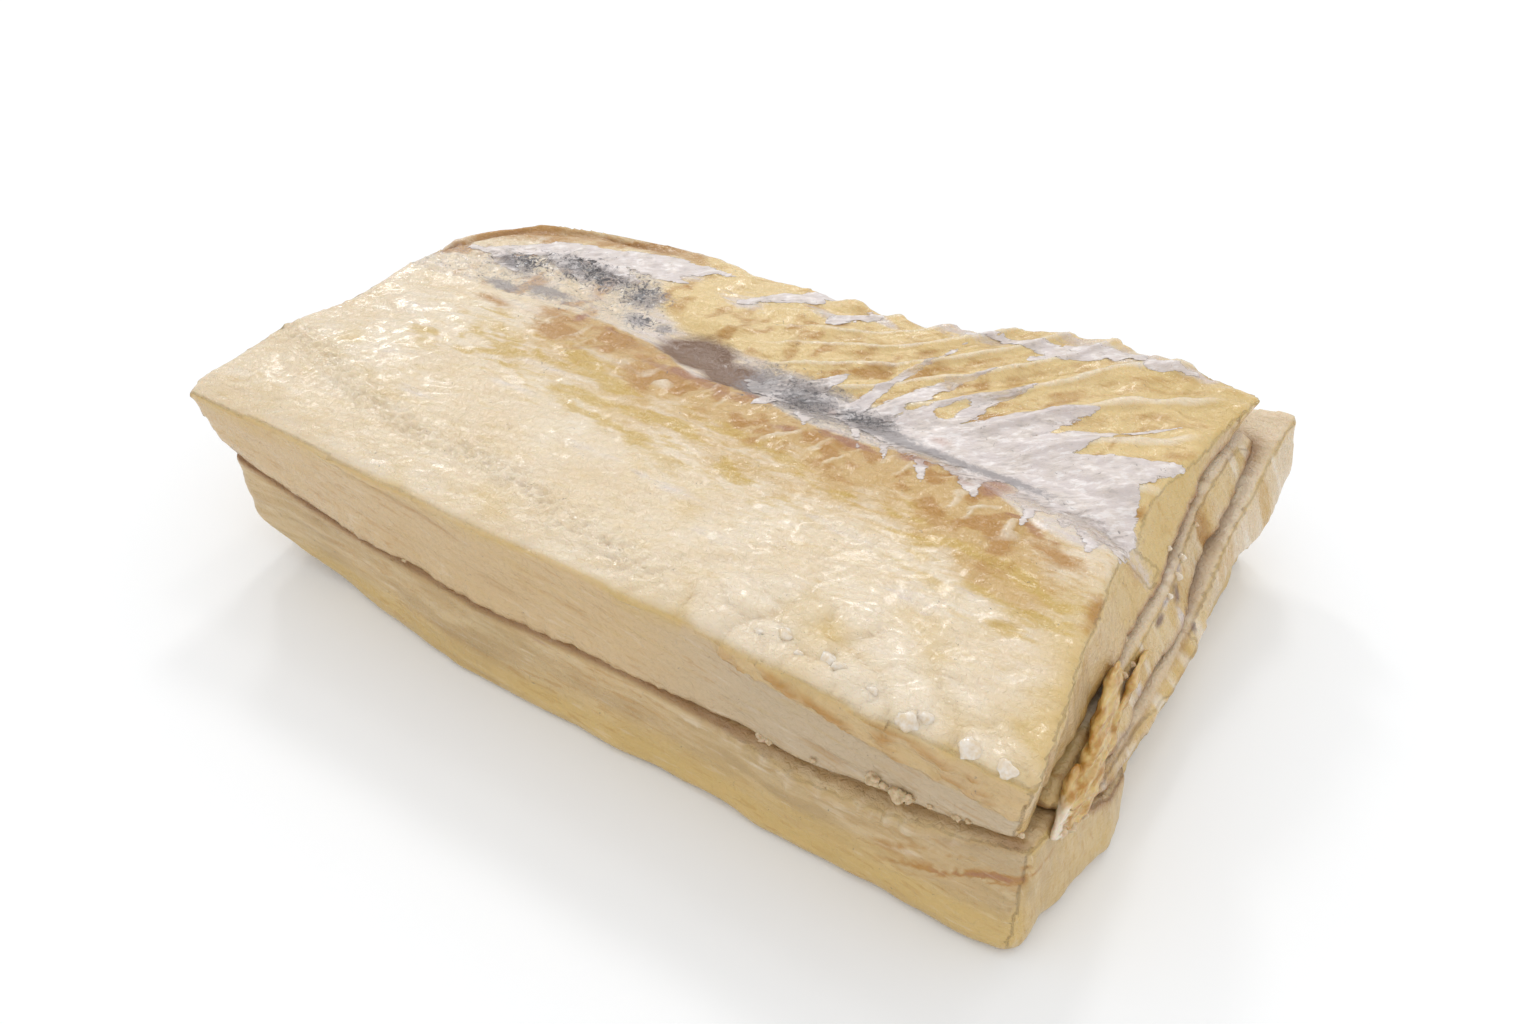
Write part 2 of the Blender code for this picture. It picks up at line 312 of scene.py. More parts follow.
class Finish:
    """A material built round a Principled shader."""

    def __init__(self, name, **constants):
        self.material = bpy.data.materials.new(name)
        self.material.use_nodes = True
        self.tree = self.material.node_tree
        self.shader = self.tree.nodes["Principled BSDF"]
        for key, value in constants.items():
            self.shader.inputs[key.replace("_", " ")].default_value = value
        place = self.node("ShaderNodeTexCoord").outputs["Object"]
        fibre = self.node("ShaderNodeAttribute", {"attribute_name": "fibre"}).outputs["Vector"]
        self.vectors = {"place": place, "fibre": fibre}

    def node(self, kind, settings=None, inputs=None):
        """Any node, with its settings first and then the values or links of its sockets."""
        node = self.tree.nodes.new(kind)
        for key, value in (settings or {}).items():
            setattr(node, key, value)
        for key, value in (inputs or {}).items():
            if isinstance(value, Value):
                value = value.socket
            if isinstance(value, bpy.types.NodeSocket):
                self.tree.links.new(value, node.inputs[key])
            else:
                node.inputs[key].default_value = value
        return node

    def noise(self, size, detail=3.0, rough=0.5, along="place", warp=0.0):
        """Noise from 0 to 1 round 0.5, with features of the given size in metres."""
        sockets = {"Vector": self.vectors[along], "Scale": 1.0 / size, "Detail": detail}
        sockets |= {"Roughness": rough, "Distortion": warp}
        return Value(self, self.node("ShaderNodeTexNoise", None, sockets).outputs["Fac"])

    def speckles(self, size, along="place"):
        """Distance to the nearest of scattered points, 0 at each point."""
        sockets = {"Vector": self.vectors[along], "Scale": 1.0 / size}
        return Value(self, self.node("ShaderNodeTexVoronoi", None, sockets).outputs["Distance"])

    def mark(self, name):
        node = self.node("ShaderNodeAttribute", {"attribute_name": name})
        return Value(self, node.outputs["Fac"])

    def blend(self, under, over, share):
        """One colour over another."""
        under, over = ((*c, 1.0) if isinstance(c, tuple) else c for c in (under, over))
        node = self.node("ShaderNodeMix", {"data_type": "RGBA"}, {0: share, 6: under, 7: over})
        return node.outputs[2]

    def bumped(self, *heights):
        """Bump for the shader, from (height, distance in metres) pairs."""
        normal = None
        for height, distance in heights:
            sockets = {"Height": height, "Distance": distance, "Strength": 1.0}
            if normal is not None:
                sockets["Normal"] = normal
            normal = self.node("ShaderNodeBump", None, sockets).outputs["Normal"]
        self.feed("Normal", normal)

    def feed(self, socket, value):
        value = value.socket if isinstance(value, Value) else value
        self.tree.links.new(value, self.shader.inputs[socket])


def step(value, at, soft):
    """A value sharpened to 0 below a level and 1 above it."""
    return ((value - at) / soft + 0.5).clamped()


# Sizes and colours that a user would change --------------------------------------------------------


def colour(name, description, default):
    return bpy.props.FloatVectorProperty(
        name=name, description=description, default=default, subtype="COLOR", size=3, min=0.0, max=1.0
    )


def length(name, description, default):
    return bpy.props.FloatProperty(
        name=name, description=description, default=default, unit="LENGTH", min=0.0, precision=5
    )


class CodColours(bpy.types.PropertyGroup):
    cream: colour("Cream", "Moist open face of the upper loin", (0.720, 0.572, 0.380))
    ivory: colour("Ivory", "Palest flakes and torn edges", (0.800, 0.700, 0.560))
    beige: colour("Beige", "Cut face of the upper loin", (0.615, 0.435, 0.225))
    # Partly painted shade: the front of the upper loin greys toward the wide end, and the upper front of the lower
    # loin greys under the upper loin. On the flaps it is random grey.
    grey_beige: colour("Grey beige", "Cut face near the wide end", (0.540, 0.420, 0.275))
    olive: colour("Olive cream", "Cut face of the lower loin", (0.465, 0.325, 0.155))
    straw: colour("Straw", "Yellow rims and the foot of the lower loin", (0.630, 0.440, 0.155))
    mustard: colour("Mustard", "Yellow streaks beside the backbone channel", (0.560, 0.370, 0.075))
    ochre: colour("Ochre", "Brown pockets beside the channel", (0.430, 0.205, 0.030))
    amber: colour("Amber", "Flesh between the rib ridges", (0.745, 0.550, 0.250))
    tan: colour("Tan", "Moist flesh in front of the channel", (0.560, 0.350, 0.110))
    crevice_shade: colour("Umber", "Deep orange-brown of the cracks", (0.260, 0.105, 0.030))
    lilac: colour("Lilac white", "Belly membrane and its remains", (0.670, 0.595, 0.575))
    mauve: colour("Mauve brown", "Smooth recess in the channel", (0.190, 0.100, 0.055))
    slate: colour("Slate", "Blue-grey pigment of the membrane", (0.260, 0.235, 0.240))
    soot: colour("Soot", "Black specks of the membrane", (0.060, 0.055, 0.060))
    # Painted shade: the deep orange-brown laid in cracks, creases, hollows and seams between the slabs.
    blood: colour("Blood", "Red-brown spots beside the channel", (0.360, 0.165, 0.095))
    floor: colour("Floor", "Plain pale floor", (0.955, 0.970, 0.985))


class CodSizes(bpy.types.PropertyGroup):
    cell: length("Cell", "Size of the fine cells that the slabs are carved in", 0.00120)
    flake: length("Flake height", "Relief of the flakes on the open face", 0.00040)
    fibre: length("Fibre height", "Relief of the fibres on the cut faces", 0.00035)
    blister: length("Blister height", "Relief of the lumps at the front edge", 0.00170)
    lip: length("Lip", "How far the open face hangs over the front", 0.00110)
    membrane: length("Membrane", "Thickness of the belly membrane", 0.00022)
    crystal: length("Salt crystal", "Size of a coarse salt crystal", 0.00450)


def colours():
    return bpy.context.scene.cod_colours


def sizes():
    return bpy.context.scene.cod_sizes


def tone(name):
    return tuple(getattr(colours(), name))


# How the marks colour the flesh: mark, tone, strength, ragged edge and its amount, softness.
FLESH_LAYERS = (
    ("cut", "beige", 0.95, "coarse", 0.30, 0.80),
    ("grey", "grey_beige", 0.90, "coarse", 0.50, 0.90),
    ("amber", "amber", 0.92, "coarse", 0.45, 0.80),
    ("tan", "tan", 0.88, "medium", 1.00, 0.55),
    ("straw", "straw", 0.80, "coarse", 0.80, 0.60),
    ("mustard", "mustard", 0.74, "medium", 1.60, 0.80),
    ("ochre", "ochre", 0.84, "medium", 1.10, 0.60),
    ("ridge", "ivory", 0.70, "medium", 0.70, 0.60),
    ("lilac", "lilac", 0.78, "medium", 1.30, 0.45),
    ("mauve", "mauve", 0.94, "medium", 0.50, 0.35),
    ("blood", "blood", 0.80, "medium", 1.10, 0.60),
    ("slate", "slate", 0.80, "specks", 1.50, 0.45),
    # Painted shade in cracks, creases and seams between the slabs.
    ("crevice_shade", "crevice_shade", 0.85, "medium", 0.50, 0.70),
    ("soot", "soot", 0.90, "specks", 2.40, 0.20),
)


def flesh(name, pale, plain, deep, gloss):
    """Moist salt-cured flesh: clouds, flakes and fibres in three tones, then the marked patches, and painted shade in
    seams and hollows.
    """
    finish = Finish(
        name,
        Subsurface_Weight=0.20,
        Subsurface_Radius=(1.0, 0.60, 0.32),
        Subsurface_Scale=0.0035,
        Coat_Roughness=0.10,
        IOR=1.50,
    )
    even = finish.mark("even")
    flat = (1.0 - even) * 0.5
    clouds = finish.noise(0.026, 3.0)
    edges = {
        "coarse": finish.noise(0.0075, 4.0, 0.60, "fibre", 0.5) * even + flat,
        "medium": finish.noise(0.0030, 3.0, 0.62, "fibre", 0.4) * even + flat,
        "fine": finish.noise(0.0012, 3.0, 0.62, "fibre") * even + flat,
        "specks": finish.noise(0.0022, 4.0, 0.70, warp=1.2),
    }
    wrinkles = finish.noise(0.0017, 3.0, 0.60, warp=0.8)
    lines = finish.noise(0.0014, 2.0, 0.55, "fibre", 0.3)
    skin = finish.blend(tone(plain), tone(pale), step(clouds * 0.6 + edges["coarse"] * 0.6, 0.62, 0.36))
    skin = finish.blend(skin, tone(deep), step(edges["medium"] + edges["coarse"] * 0.6, 0.84, 0.30) * 0.36)
    skin = finish.blend(skin, tone("ivory"), step(edges["medium"] + edges["coarse"] * 0.4, 0.80, 0.26) * 0.36)
    for mark, over, strength, edge, ragged, soft in FLESH_LAYERS:
        place = finish.mark(mark) + (edges[edge] - 0.5) * ragged
        skin = finish.blend(skin, tone(over), step(place, 0.5, soft) * strength)
    thread = step(lines, 0.60, 0.07) * finish.mark("side") * step(clouds, 0.48, 0.20) * even
    skin = finish.blend(skin, tone("ochre"), thread * 0.34)
    skin = finish.blend(skin, tone("ivory"), step(lines, 0.34, 0.10) * (-0.20) * finish.mark("side") + finish.mark("side") * 0.20)
    # Painted shade in gashes, creases and seams between the slabs.
    skin = finish.blend(skin, tone("crevice_shade"), (finish.mark("hollow_shade") * 0.85).clamped())
    finish.feed("Base Color", skin)
    finish.feed("Roughness", edges["fine"] * 0.14 + (0.34 - 0.28 * gloss))
    finish.feed("Coat Weight", (step(clouds, 0.50, 0.25) * 0.20 + 0.04) * gloss)
    finish.bumped((edges["fine"], 0.00012), (lines, 0.00020), (wrinkles, 0.00058))
    return finish.material


# The top of the block: lines across it, as (along, across) stops in millimetres ------------------------

STRIP_MIDDLE = [(-135, 6), (-116, 18), (-92, 23), (-71, 24), (-57, 22), (-35, 14), (-18, 13), (34, 11)]
STRIP_MIDDLE += [(68, 10), (99, 10), (119, 3), (140, -4)]
STRIP_BACK = [(-135, 21), (-110, 33), (-90, 43), (-68, 49), (-54, 47), (-44, 41), (-10, 23), (18, 20)]
STRIP_BACK += [(36, 32), (64, 46), (74, 54), (99, 56), (123, 36), (140, 28)]
STRIP_FRONT = [(-135, 0), (-111, 3), (-87, 6), (-62, 7), (-37, 6), (-20, -2), (-3, 1), (22, -5), (42, -4)]
STRIP_FRONT += [(63, 1), (80, -2), (102, -12), (115, -12), (122, -7), (140, -5)]
CRUMBLY_LINE = [(-140, -52), (-120, -58), (-93, -66), (-69, -69), (-44, -70), (-18, -75), (6, -79), (40, -84)]
BLISTER_LINE = [(-20, -92), (20, -86), (50, -66), (87, -66), (112, -72), (140, -86)]
SKIN_LINE = [(-140, 57), (-100, 56), (-20, 57), (8, 61), (22, 56.5), (34, 57), (46, 55), (58, 53), (82, 50)]
SKIN_LINE += [(106, 48), (118, 47), (140, 45.5)]
FOLD_LINE = [(-140, 14), (-130, 36), (-118, 46), (-98, 56), (-81, 58), (-50, 57)]

# Patches on the top: along, across, half length, half width, in millimetres.
MUSTARD_SPOTS = [(-105, -28, 9, 3.0), (-62, -14, 16, 4.0), (-28, -37, 14, 3.0), (-5, -28, 20, 4.5)]
MUSTARD_SPOTS += [(28, -35, 16, 3.5), (69, -31, 24, 4.5), (98, -32, 16, 4.0), (-84, -18, 10, 3.0)]
MUSTARD_SPOTS += [(-40, -22, 18, 4.0), (20, -20, 20, 4.5), (112, -42, 10, 5.0), (-95, -8, 12, 3.5)]
OCHRE_SPOTS = [(-70, -5, 9, 4.5), (-49, 1, 10, 6.0), (-30, -9, 9, 6.0), (-78, 2, 9, 4.0), (-100, -2, 9, 3.0)]
OCHRE_SPOTS += [(112, -21, 6, 3.5), (127, -34, 3, 8), (92, -20, 8, 3.5), (84, 1, 6, 4), (128, -6, 4, 8)]
BLOOD_SPOTS = [(20, -11, 5, 2.0), (25, 8, 5, 2.2), (59, -3, 7, 3.0), (61, 11, 4, 2.0), (84, 1, 6, 4.0)]
BLOOD_SPOTS += [(-70, 6, 1.5, 3.5), (39, -5, 5, 2.0), (76, -4, 4, 1.5), (-30, -4, 8, 2.0), (-5, -6, 8, 2.2)]
LILAC_SPOTS = [(-89, 41, 12, 4), (-54, 47, 7, 4), (-29, 43, 9, 5), (-8, 64, 7, 5), (-1, 50, 8, 3)]
LILAC_SPOTS += [(16, 57, 6, 3), (42, 66, 16, 5), (84, 80, 16, 5), (95, 83, 10, 4), (114, 83, 10, 3)]
PALE_SPOTS = [(-108, -44, 9, 4), (-86, -56, 10, 3), (-60, -24, 16, 2.5), (10, -52, 18, 3), (-20, -50, 14, 2.5)]
PALE_SPOTS += [(60, -42, 22, 3), (-120, -20, 9, 5), (-46, -10, 14, 2.6), (100, -46, 14, 3), (-92, 0, 14, 3)]
PALE_SPOTS += [(-62, -38, 14, 2.5), (30, -62, 16, 3), (86, -54, 12, 4)]
RECESS_SPOTS = [(-27, 12, 14, 9.0), (-8, 7, 13, 7.5)]
SLATE_SPOTS = [(16, 9, 15, 10), (36, 9, 14, 6), (-58, 29, 9, 6), (-88, 32, 20, 5), (0, 8, 8, 10)]
SLATE_SPOTS += [(-54, 17, 6, 4), (-45, 18, 4, 3), (-90, 13, 8, 3), (-112, 22, 8, 4), (-106, 8, 6, 3)]
SOOT_SPOTS = [(-62, 30, 10, 6), (-88, 32, 20, 8), (-110, 25, 10, 6), (14, 8, 15, 10), (34, 9, 14, 5), (-52, 18, 8, 5)]


# Patches on the cut end of the flaps: across, up, half width, half height, in millimetres.
MAUVE_ENDS = [(10, 36, 3, 4), (13, 26, 2.5, 5), (-2, 36, 4, 2), (-34, 38, 6, 1.5)]
LILAC_ENDS = [(16, 41, 2.5, 5), (4, 38, 4, 2), (9, 29, 2, 5), (-22, 30, 2, 5)]


def rib_phase(x, y):
    """Turns of the rib ridges behind the channel, as the slab has them."""
    off = y - course(x, STRIP_MIDDLE)
    slant = 2.4 - 1.4 * ease(-0.010, 0.100, x)
    return (x - slant * off) / 0.024


def fibre_marks(body, top_turn, top_stretch, dip, end_lean):
    """Places shortened along the fibres, along X on the front and upright on the ends, and where they meet."""
    x, y, z = body.rest.T
    top = turned(body.rest, top_turn, top_stretch)
    front = np.column_stack([x / 7.0, y, z + dip * x])
    end = np.column_stack([x, y + end_lean * z, z / 6.0])
    upright = np.abs(body.normals[:, 2]) < 0.62
    sideways = np.abs(body.normals[:, 0]) > 0.60
    kind = np.where(upright, np.where(sideways, 2, 1), 0)
    ends = read(body.mesh.edges, "vertices", 2).astype(int)
    meeting = ends[kind[ends[:, 0]] != kind[ends[:, 1]]]
    even = np.ones(len(x))
    even[meeting.ravel()] = 0.0
    return {"fibre": np.choose(kind[:, None], [top, front, end]), "even": even}


def carve_top_loin(body):
    """Flakes, ribs, crumbs, blisters and the torn front lip of the open upper loin."""
    x, y, z = body.rest.T
    along = body.rest * (1.0, 0.0, 0.0)
    top = body.faces(2, 1.0)
    front = body.faces(1, -1.0) * (1.0 - top)
    back = body.faces(1, 1.0) * (1.0 - top)
    end = body.faces(0, 1.0) * (1.0 - top)
    left = body.faces(0, -1.0) * (1.0 - top)
    middle = course(x, STRIP_MIDDLE)
    before = course(x, STRIP_FRONT) - y
    behind = ease(-0.001, 0.005, y - middle - 0.004)
    far = 1.0 - ease(-0.066, -0.050, x)
    strip = ease(-0.002, 0.002, -before) * (1.0 - ease(0.0, 0.003, y - course(x, STRIP_BACK)))
    strip *= far + (1.0 - far) * (1.0 - behind)
    cream = ease(0.006, 0.026, before)

    warped = body.rest + 0.004 * np.column_stack([grain(body.rest, 0.018, s) for s in (1, 2, 3)])
    streaks = grain(turned(warped, 8.0, 3.0), 0.0056, 5, 3)
    wrinkles = grain(turned(warped, 40.0, 1.7), 0.0046, 6, 2)
    ledges = grain(turned(warped, 20.0, 1.8), 0.012, 9, 2) * 2.0
    ledges = np.floor(ledges) + ease(0.75, 1.0, ledges - np.floor(ledges)) - ledges
    height = sizes().flake * (0.6 * streaks + 0.7 * wrinkles) * (1.0 - 0.6 * strip)
    height += 0.0004 * ledges * cream
    height += 0.0009 * grain(body.rest, 0.026, 11, 2)

    reach = ease(-0.100, -0.055, x) * (1.0 - 0.75 * ease(0.090, 0.120, x))
    width = 0.017 + 0.008 * ease(0.02, 0.09, x)
    fringe = ease(-0.003, 0.001, before) * (1.0 - ease(0.6, 1.4, before / width + 0.35 * grain(warped, 0.011, 7)))
    threads = np.cos((x + 0.35 * before + 0.0040 * grain(body.rest, 0.011, 8, 2)) / 0.0090 * 2.0 * np.pi)
    threads = ease(0.45, 1.0, threads) * ease(0.0, 0.004, before) * (1.0 - ease(0.013, 0.021, before))
    threads *= np.clip(0.6 + 0.9 * grain(body.rest, 0.013, 4, 2), 0.0, 1.0)
    height += (0.0006 * threads + 0.0005 * grain(turned(warped, 80.0, 3.0), 0.003, 12, 2)) * fringe * reach
    height += 0.0007 * grain(warped, 0.0042, 10, 2) * strip * far

    turns = rib_phase(x, y) * 2.0 * np.pi
    ridge = ease(0.72, 1.0, np.cos(turns + 0.5 * grain(warped, 0.02, 13) - np.pi / 2.0))
    ribbed = behind * ease(-0.030, 0.010, x) * (1.0 - ease(0.118, 0.130, x))
    height += (0.0009 * ridge + 0.0003 * grain(turned(warped, 40.0, 4.0), 0.004, 14, 2)) * ribbed

    lobes = ease(0.085, 0.105, x) * ease(0.030, 0.052, y)
    height += 0.0011 * (grain(warped, 0.0095, 47, 2) - 0.3) * lobes

    crumbly = bump(0.0, 0.0058, y - course(x, CRUMBLY_LINE)) * (1.0 - ease(0.010, 0.045, x))
    near, gap = cells(warped, 0.0034, 15)
    gap_small = 1.0 - ease(0.05, 0.20, gap)
    height += crumbly * (0.0016 * (0.6 - near) - 0.0006 * (gap < 0.14))
    blistered = ease(-0.003, 0.005, course(x, BLISTER_LINE) - y) * ease(-0.010, 0.025, x)
    swirled = warped + 0.003 * np.column_stack([grain(body.rest, 0.008, s) for s in (17, 18, 19)])
    near, gap = cells(turned(swirled, -35.0, 1.5), 0.0120, 16)
    domes = np.clip(1.0 - near**2 * 1.3, 0.0, 1.0)
    furrows = (1.0 - ease(0.0, 0.16, gap)) * (near > 0.3)
    height += blistered * (sizes().blister * (domes - 0.4) - 0.0005 * furrows)

    fold = bump(0.0, 0.0035, y - course(x, FOLD_LINE)) * (1.0 - ease(-0.085, -0.050, x))
    height -= 0.0022 * fold
    recess = np.clip(1.35 * blot(x, y, RECESS_SPOTS), 0.0, 1.0)
    height -= 0.0018 * recess
    body.raise_by(height * top)

    skin_edge = course(x, SKIN_LINE) + 0.0008 * grain(along, 0.008, 28, 3)
    skin = ease(-0.0006, 0.0006, z - skin_edge) * (1.0 - top)
    hem = np.clip(0.8 + 0.6 * grain(along, 0.007, 20, 3) + 1.1 * bump(0.021, 0.013, x), 0.15, 2.2)
    lumps = 0.5 + 0.7 * grain(body.rest, 0.0065, 29, 2) * ease(0.02, 0.05, x)
    body.move(1, -sizes().lip * skin * hem * lumps * body.rim)
    rolls = np.clip(grain(np.column_stack([x / 3.0, y, z + 0.10 * x]), 0.0040, 44, 3) * 1.5 + 0.2, 0.0, 1.0)
    body.move(1, -0.0016 * skin * rolls * body.rim * ease(0.03, 0.06, x))

    side = body.rest * (1.0, 0.0, 1.0)
    dipped = np.column_stack([x / 9.0, 0.0 * x, z + 0.13 * x])
    strands = grain(dipped, 0.0040, 21, 3)
    creases = np.clip(grain(dipped, 0.0070, 22, 2) * 2.2 - 0.9, 0.0, 1.0) * (1.0 - skin)
    body.raise_by(front * (sizes().fibre * strands - 0.0006 * creases + 0.0006 * grain(side, 0.022, 23, 2)))
    ledge = ease(0.0, 0.0050, 0.0075 - (z - body.low_edge)) * ease(-0.128, -0.100, x) * (1.0 - ease(0.03, 0.07, x))
    ragged = np.clip(0.6 + 0.8 * grain(along, 0.0065, 24, 3), 0.0, 1.6)
    body.move(1, -0.0011 * ledge * ragged * front)
    sag = (1.0 - ease(0.0, 0.0030, z - body.low_edge)) * body.rim * (1.0 - ease(0.035, 0.060, x))
    body.move(2, -0.0014 * sag)

    upright = np.column_stack([0.0 * x, y + 0.10 * z, z / 8.0])
    pleats = grain(upright, 0.0062, 25, 2)
    gashes = np.clip(grain(upright, 0.0130, 26, 2) * 2.6 - 1.3, 0.0, 1.0)
    body.raise_by((end + left + back) * (0.0004 * pleats - 0.0009 * gashes + 0.0002 * grain(upright, 0.003, 27, 2)))

    cut = front + end + left + back
    brown = np.clip(grain(warped, 0.0085, 30, 3) * 1.9 + 0.40, 0.0, 1.0)
    stain = np.clip(grain(turned(warped, 70.0, 1.8), 0.0085, 40, 3) * 1.8 + 0.15, 0.0, 1.0)
    rows = np.clip(grain(turned(warped, -7.0, 6.0), 0.0046, 41, 3) * 1.6 + 0.25, 0.0, 1.0)
    yellow = bump(0.030, 0.013, before + 0.004 * grain(warped, 0.02, 42)) * ease(-0.125, -0.080, x) * rows
    rounding = bump(0.60, 0.28, body.normals[:, 2]) * (1.0 - recess)
    body.marks = {
        **fibre_marks(body, 8.0, 3.2, 0.13, 0.10),
        "cut": np.clip(cut, 0.0, 1.0),
        # Painted shade: the front greys toward the wide end.
        "grey": front * ease(0.010, 0.075, x) * (1.0 - skin),
        "amber": top * np.clip(behind * (1.0 - far) + 0.6 * far * (y > 0.042), 0.0, 1.0),
        "tan": np.clip(
            top * (0.95 * fringe * reach + 0.40 * stain * strip * far)
            + 0.55 * top * bump(0.026, 0.012, before) * ease(-0.11, -0.06, x) * (1.0 - ease(0.11, 0.13, x))
            + end * (0.6 * stain + 0.4 * ease(0.050, 0.040, z) * (y < 0.02))
            + 0.30 * crumbly * gap_small,
            0.0,
            1.0,
        ),
        "straw": np.clip(
            0.50 * rounding * (body.rim + end + body.faces(1, 1.0, -0.2, 0.3))
            + 0.40 * front * skin * ease(0.03, 0.06, x)
            + 0.62 * top * bump(0.131, 0.006, x) * (1.0 - ease(0.060, 0.075, y))
            + 0.55 * top * ease(0.050, 0.075, y) * ease(0.085, 0.115, x)
            + 0.55 * top * cream * np.clip(grain(body.rest, 0.022, 43, 2), 0.0, 1.0)
            # Painted orange shade and glow just under the overhanging front edge.
            + 0.45 * front * bump(0.0, 0.0035, skin_edge - z) * (x < 0.04)
            + 0.50 * top * blistered * (1.0 - domes),
            0.0,
            1.0,
        ),
        "mustard": top * np.clip(0.85 * blot(x, y, MUSTARD_SPOTS) * rows + 1.20 * yellow, 0.0, 0.9),
        "ochre": np.clip(
            top * 0.9 * blot(x, y, OCHRE_SPOTS)
            + top * fringe * reach * (1.0 - threads) * brown * 0.90
            + top * strip * far * stain * 0.7
            + 0.95 * top * (1.0 - ease(-0.09, -0.05, x)) * bump(0.0, 0.005, y - course(x, FOLD_LINE) - 0.002)
            * np.clip(0.45 + grain(body.rest, 0.016, 46, 2), 0.0, 1.0)
            + top * behind * stain * 0.62 * (1.0 - 0.7 * ease(0.02, 0.05, y - middle))
            + 0.35 * top * ribbed * bump(-0.6, 0.5, np.cos(turns - np.pi / 2.0))
            + 0.5 * front * creases
            + 0.30 * blistered * top * furrows
            + 0.70 * front * skin * ease(0.03, 0.06, x) * rolls
            + 0.75 * top * far * behind * bump(0.0, 0.006, y - course(x, STRIP_BACK) - 0.012),
            0.0,
            1.0,
        ),
        "ridge": top * np.clip(ribbed * ridge * 0.75 + fringe * reach * threads * 0.75
            + 0.55 * blot(x, y, PALE_SPOTS) + 0.5 * blistered * domes, 0.0, 1.0),
        "side": np.clip(cut, 0.0, 1.0) * (1.0 - 0.7 * skin),
        "lilac": top * np.clip(0.8 * blot(x, y, LILAC_SPOTS) + 0.22 * crumbly + (0.55 - 0.20 * far) * strip
            + 0.42 * blot(x, y, PALE_SPOTS), 0.0, 1.0),
        "mauve": top * recess,
        "blood": top * np.clip(0.7 * blot(x, y, BLOOD_SPOTS) + 0.75 * bump(0.001, 0.0026, before) * reach * brown, 0.0, 1.0),
        "slate": top * np.clip(0.85 * blot(x, y, SLATE_SPOTS) + 0.34 * strip * bump(0.040, 0.055, x) + 0.30 * strip * far, 0, 0.85),
        # Painted shade in the fold and where the slab meets its neighbours.
        "crevice_shade": np.clip(top * fold * 0.5 + 1.3 * body.crevice * cut, 0.0, 1.0),
        "soot": top * np.clip(0.50 * blot(x, y, SOOT_SPOTS) + 0.10 * strip * far, 0.0, 0.56),
        # Painted shade in gashes, creases and where the slab meets its neighbours.
        "hollow_shade": np.clip(
            0.30 * gashes * end + 0.15 * front * creases + 0.9 * cut * body.crevice**2
            + 0.55 * end * body.crevice**0.8 * bump(-0.020, 0.030, y),
            0.0,
            1.0,
        ),
    }


def carve_bottom_loin(body):
    """Fibres and a ragged upper edge on the cut faces of the lower loin."""
    x, y, z = body.rest.T
    front = body.faces(1, -1.0)
    end = body.faces(0, 1.0)
    cut = np.clip(front + end + body.faces(0, -1.0) + body.faces(1, 1.0), 0.0, 1.0)
    dipped = np.column_stack([x / 9.0, 0.0 * x, z + 0.05 * x - 0.30 * (x - 0.08) * ease(0.08, 0.14, x)])
    strands = grain(dipped, 0.0042, 31, 3)
    creases = np.clip(grain(dipped, 0.0075, 32, 2) * 2.2 - 0.9, 0.0, 1.0)
    body.raise_by(front * (sizes().fibre * strands - 0.0006 * creases + 0.0008 * grain(body.rest, 0.024, 33, 2)))
    upright = np.column_stack([0.0 * x, y + 0.15 * z, z / 6.0])
    pleats = grain(upright, 0.0065, 34, 2)
    body.raise_by((cut - front).clip(0.0) * (0.0004 * pleats + 0.0006 * grain(body.rest, 0.012, 35, 2)))
    torn = ease(0.020, 0.055, x) * (1.0 - ease(0.118, 0.130, x))
    rag = grain(body.rest * (1, 1, 0), 0.0042, 36, 3)
    crest = ease(0.0, 0.003, z - body.high_edge + 0.0040 + 0.0016 * rag)
    body.move(1, -0.0010 * crest * front * np.clip(0.5 + rag, 0.0, 1.4) * torn)
    body.move(2, 0.0010 * crest * np.clip(rag, 0.0, 1.0) * body.rim * torn)
    below = body.high_edge - z - 0.05 * (x - 0.05)
    wisps = np.clip(grain(dipped, 0.0022, 39, 2) * 2.0 - 0.4, 0.0, 1.0) * bump(0.004, 0.004, below)
    vein = bump(0.0, 0.0040, z - 0.0160 - 0.33 * (x - 0.107) + 0.001 * grain(dipped, 0.004, 37, 2))
    vein *= ease(0.092, 0.108, x) * (front + 0.6 * end * (y < -0.070))
    vein *= np.clip(0.55 + 1.6 * grain(dipped, 0.0017, 45, 2), 0.0, 1.3)
    foot = 1.0 - ease(0.006, 0.019, z + 0.004 * grain(dipped, 0.01, 38, 2))
    rounding = bump(0.60, 0.28, np.abs(body.normals[:, 2]))
    body.marks = {
        **fibre_marks(body, 0.0, 3.0, 0.05, 0.15),
        # Painted shade: the upper front greys under the overhanging upper loin.
        "grey": 0.45 * front * ease(0.020, 0.030, z) * ease(-0.02, 0.06, x),
        "straw": np.clip(
            (0.50 * front + 0.25 * cut) * foot + 0.5 * rounding * cut * (z > 0.004) + 0.40 * end, 0.0, 1.0
        ),
        "ochre": np.clip(1.5 * vein * np.clip(0.7 + strands, 0.0, 1.0) + 0.45 * front * creases, 0.0, 1.0),
        "ridge": front * torn * np.clip(0.40 * crest * np.clip(0.6 + rag, 0.0, 1.0) + 0.6 * wisps, 0.0, 1.0),
        # Painted shade where the slab meets its neighbours.
        "crevice_shade": np.clip(1.3 * body.crevice * cut, 0.0, 1.0),
        "blood": 0.8 * vein * ease(0.10, 0.125, x) * np.clip(strands + 0.4, 0.0, 1.0),
        # Painted shade in creases and where the slab meets its neighbours.
        "hollow_shade": np.clip(0.15 * creases * front + 1.1 * np.maximum(cut, body.rim) * body.crevice, 0.0, 1.0),
        "side": cut,
    }


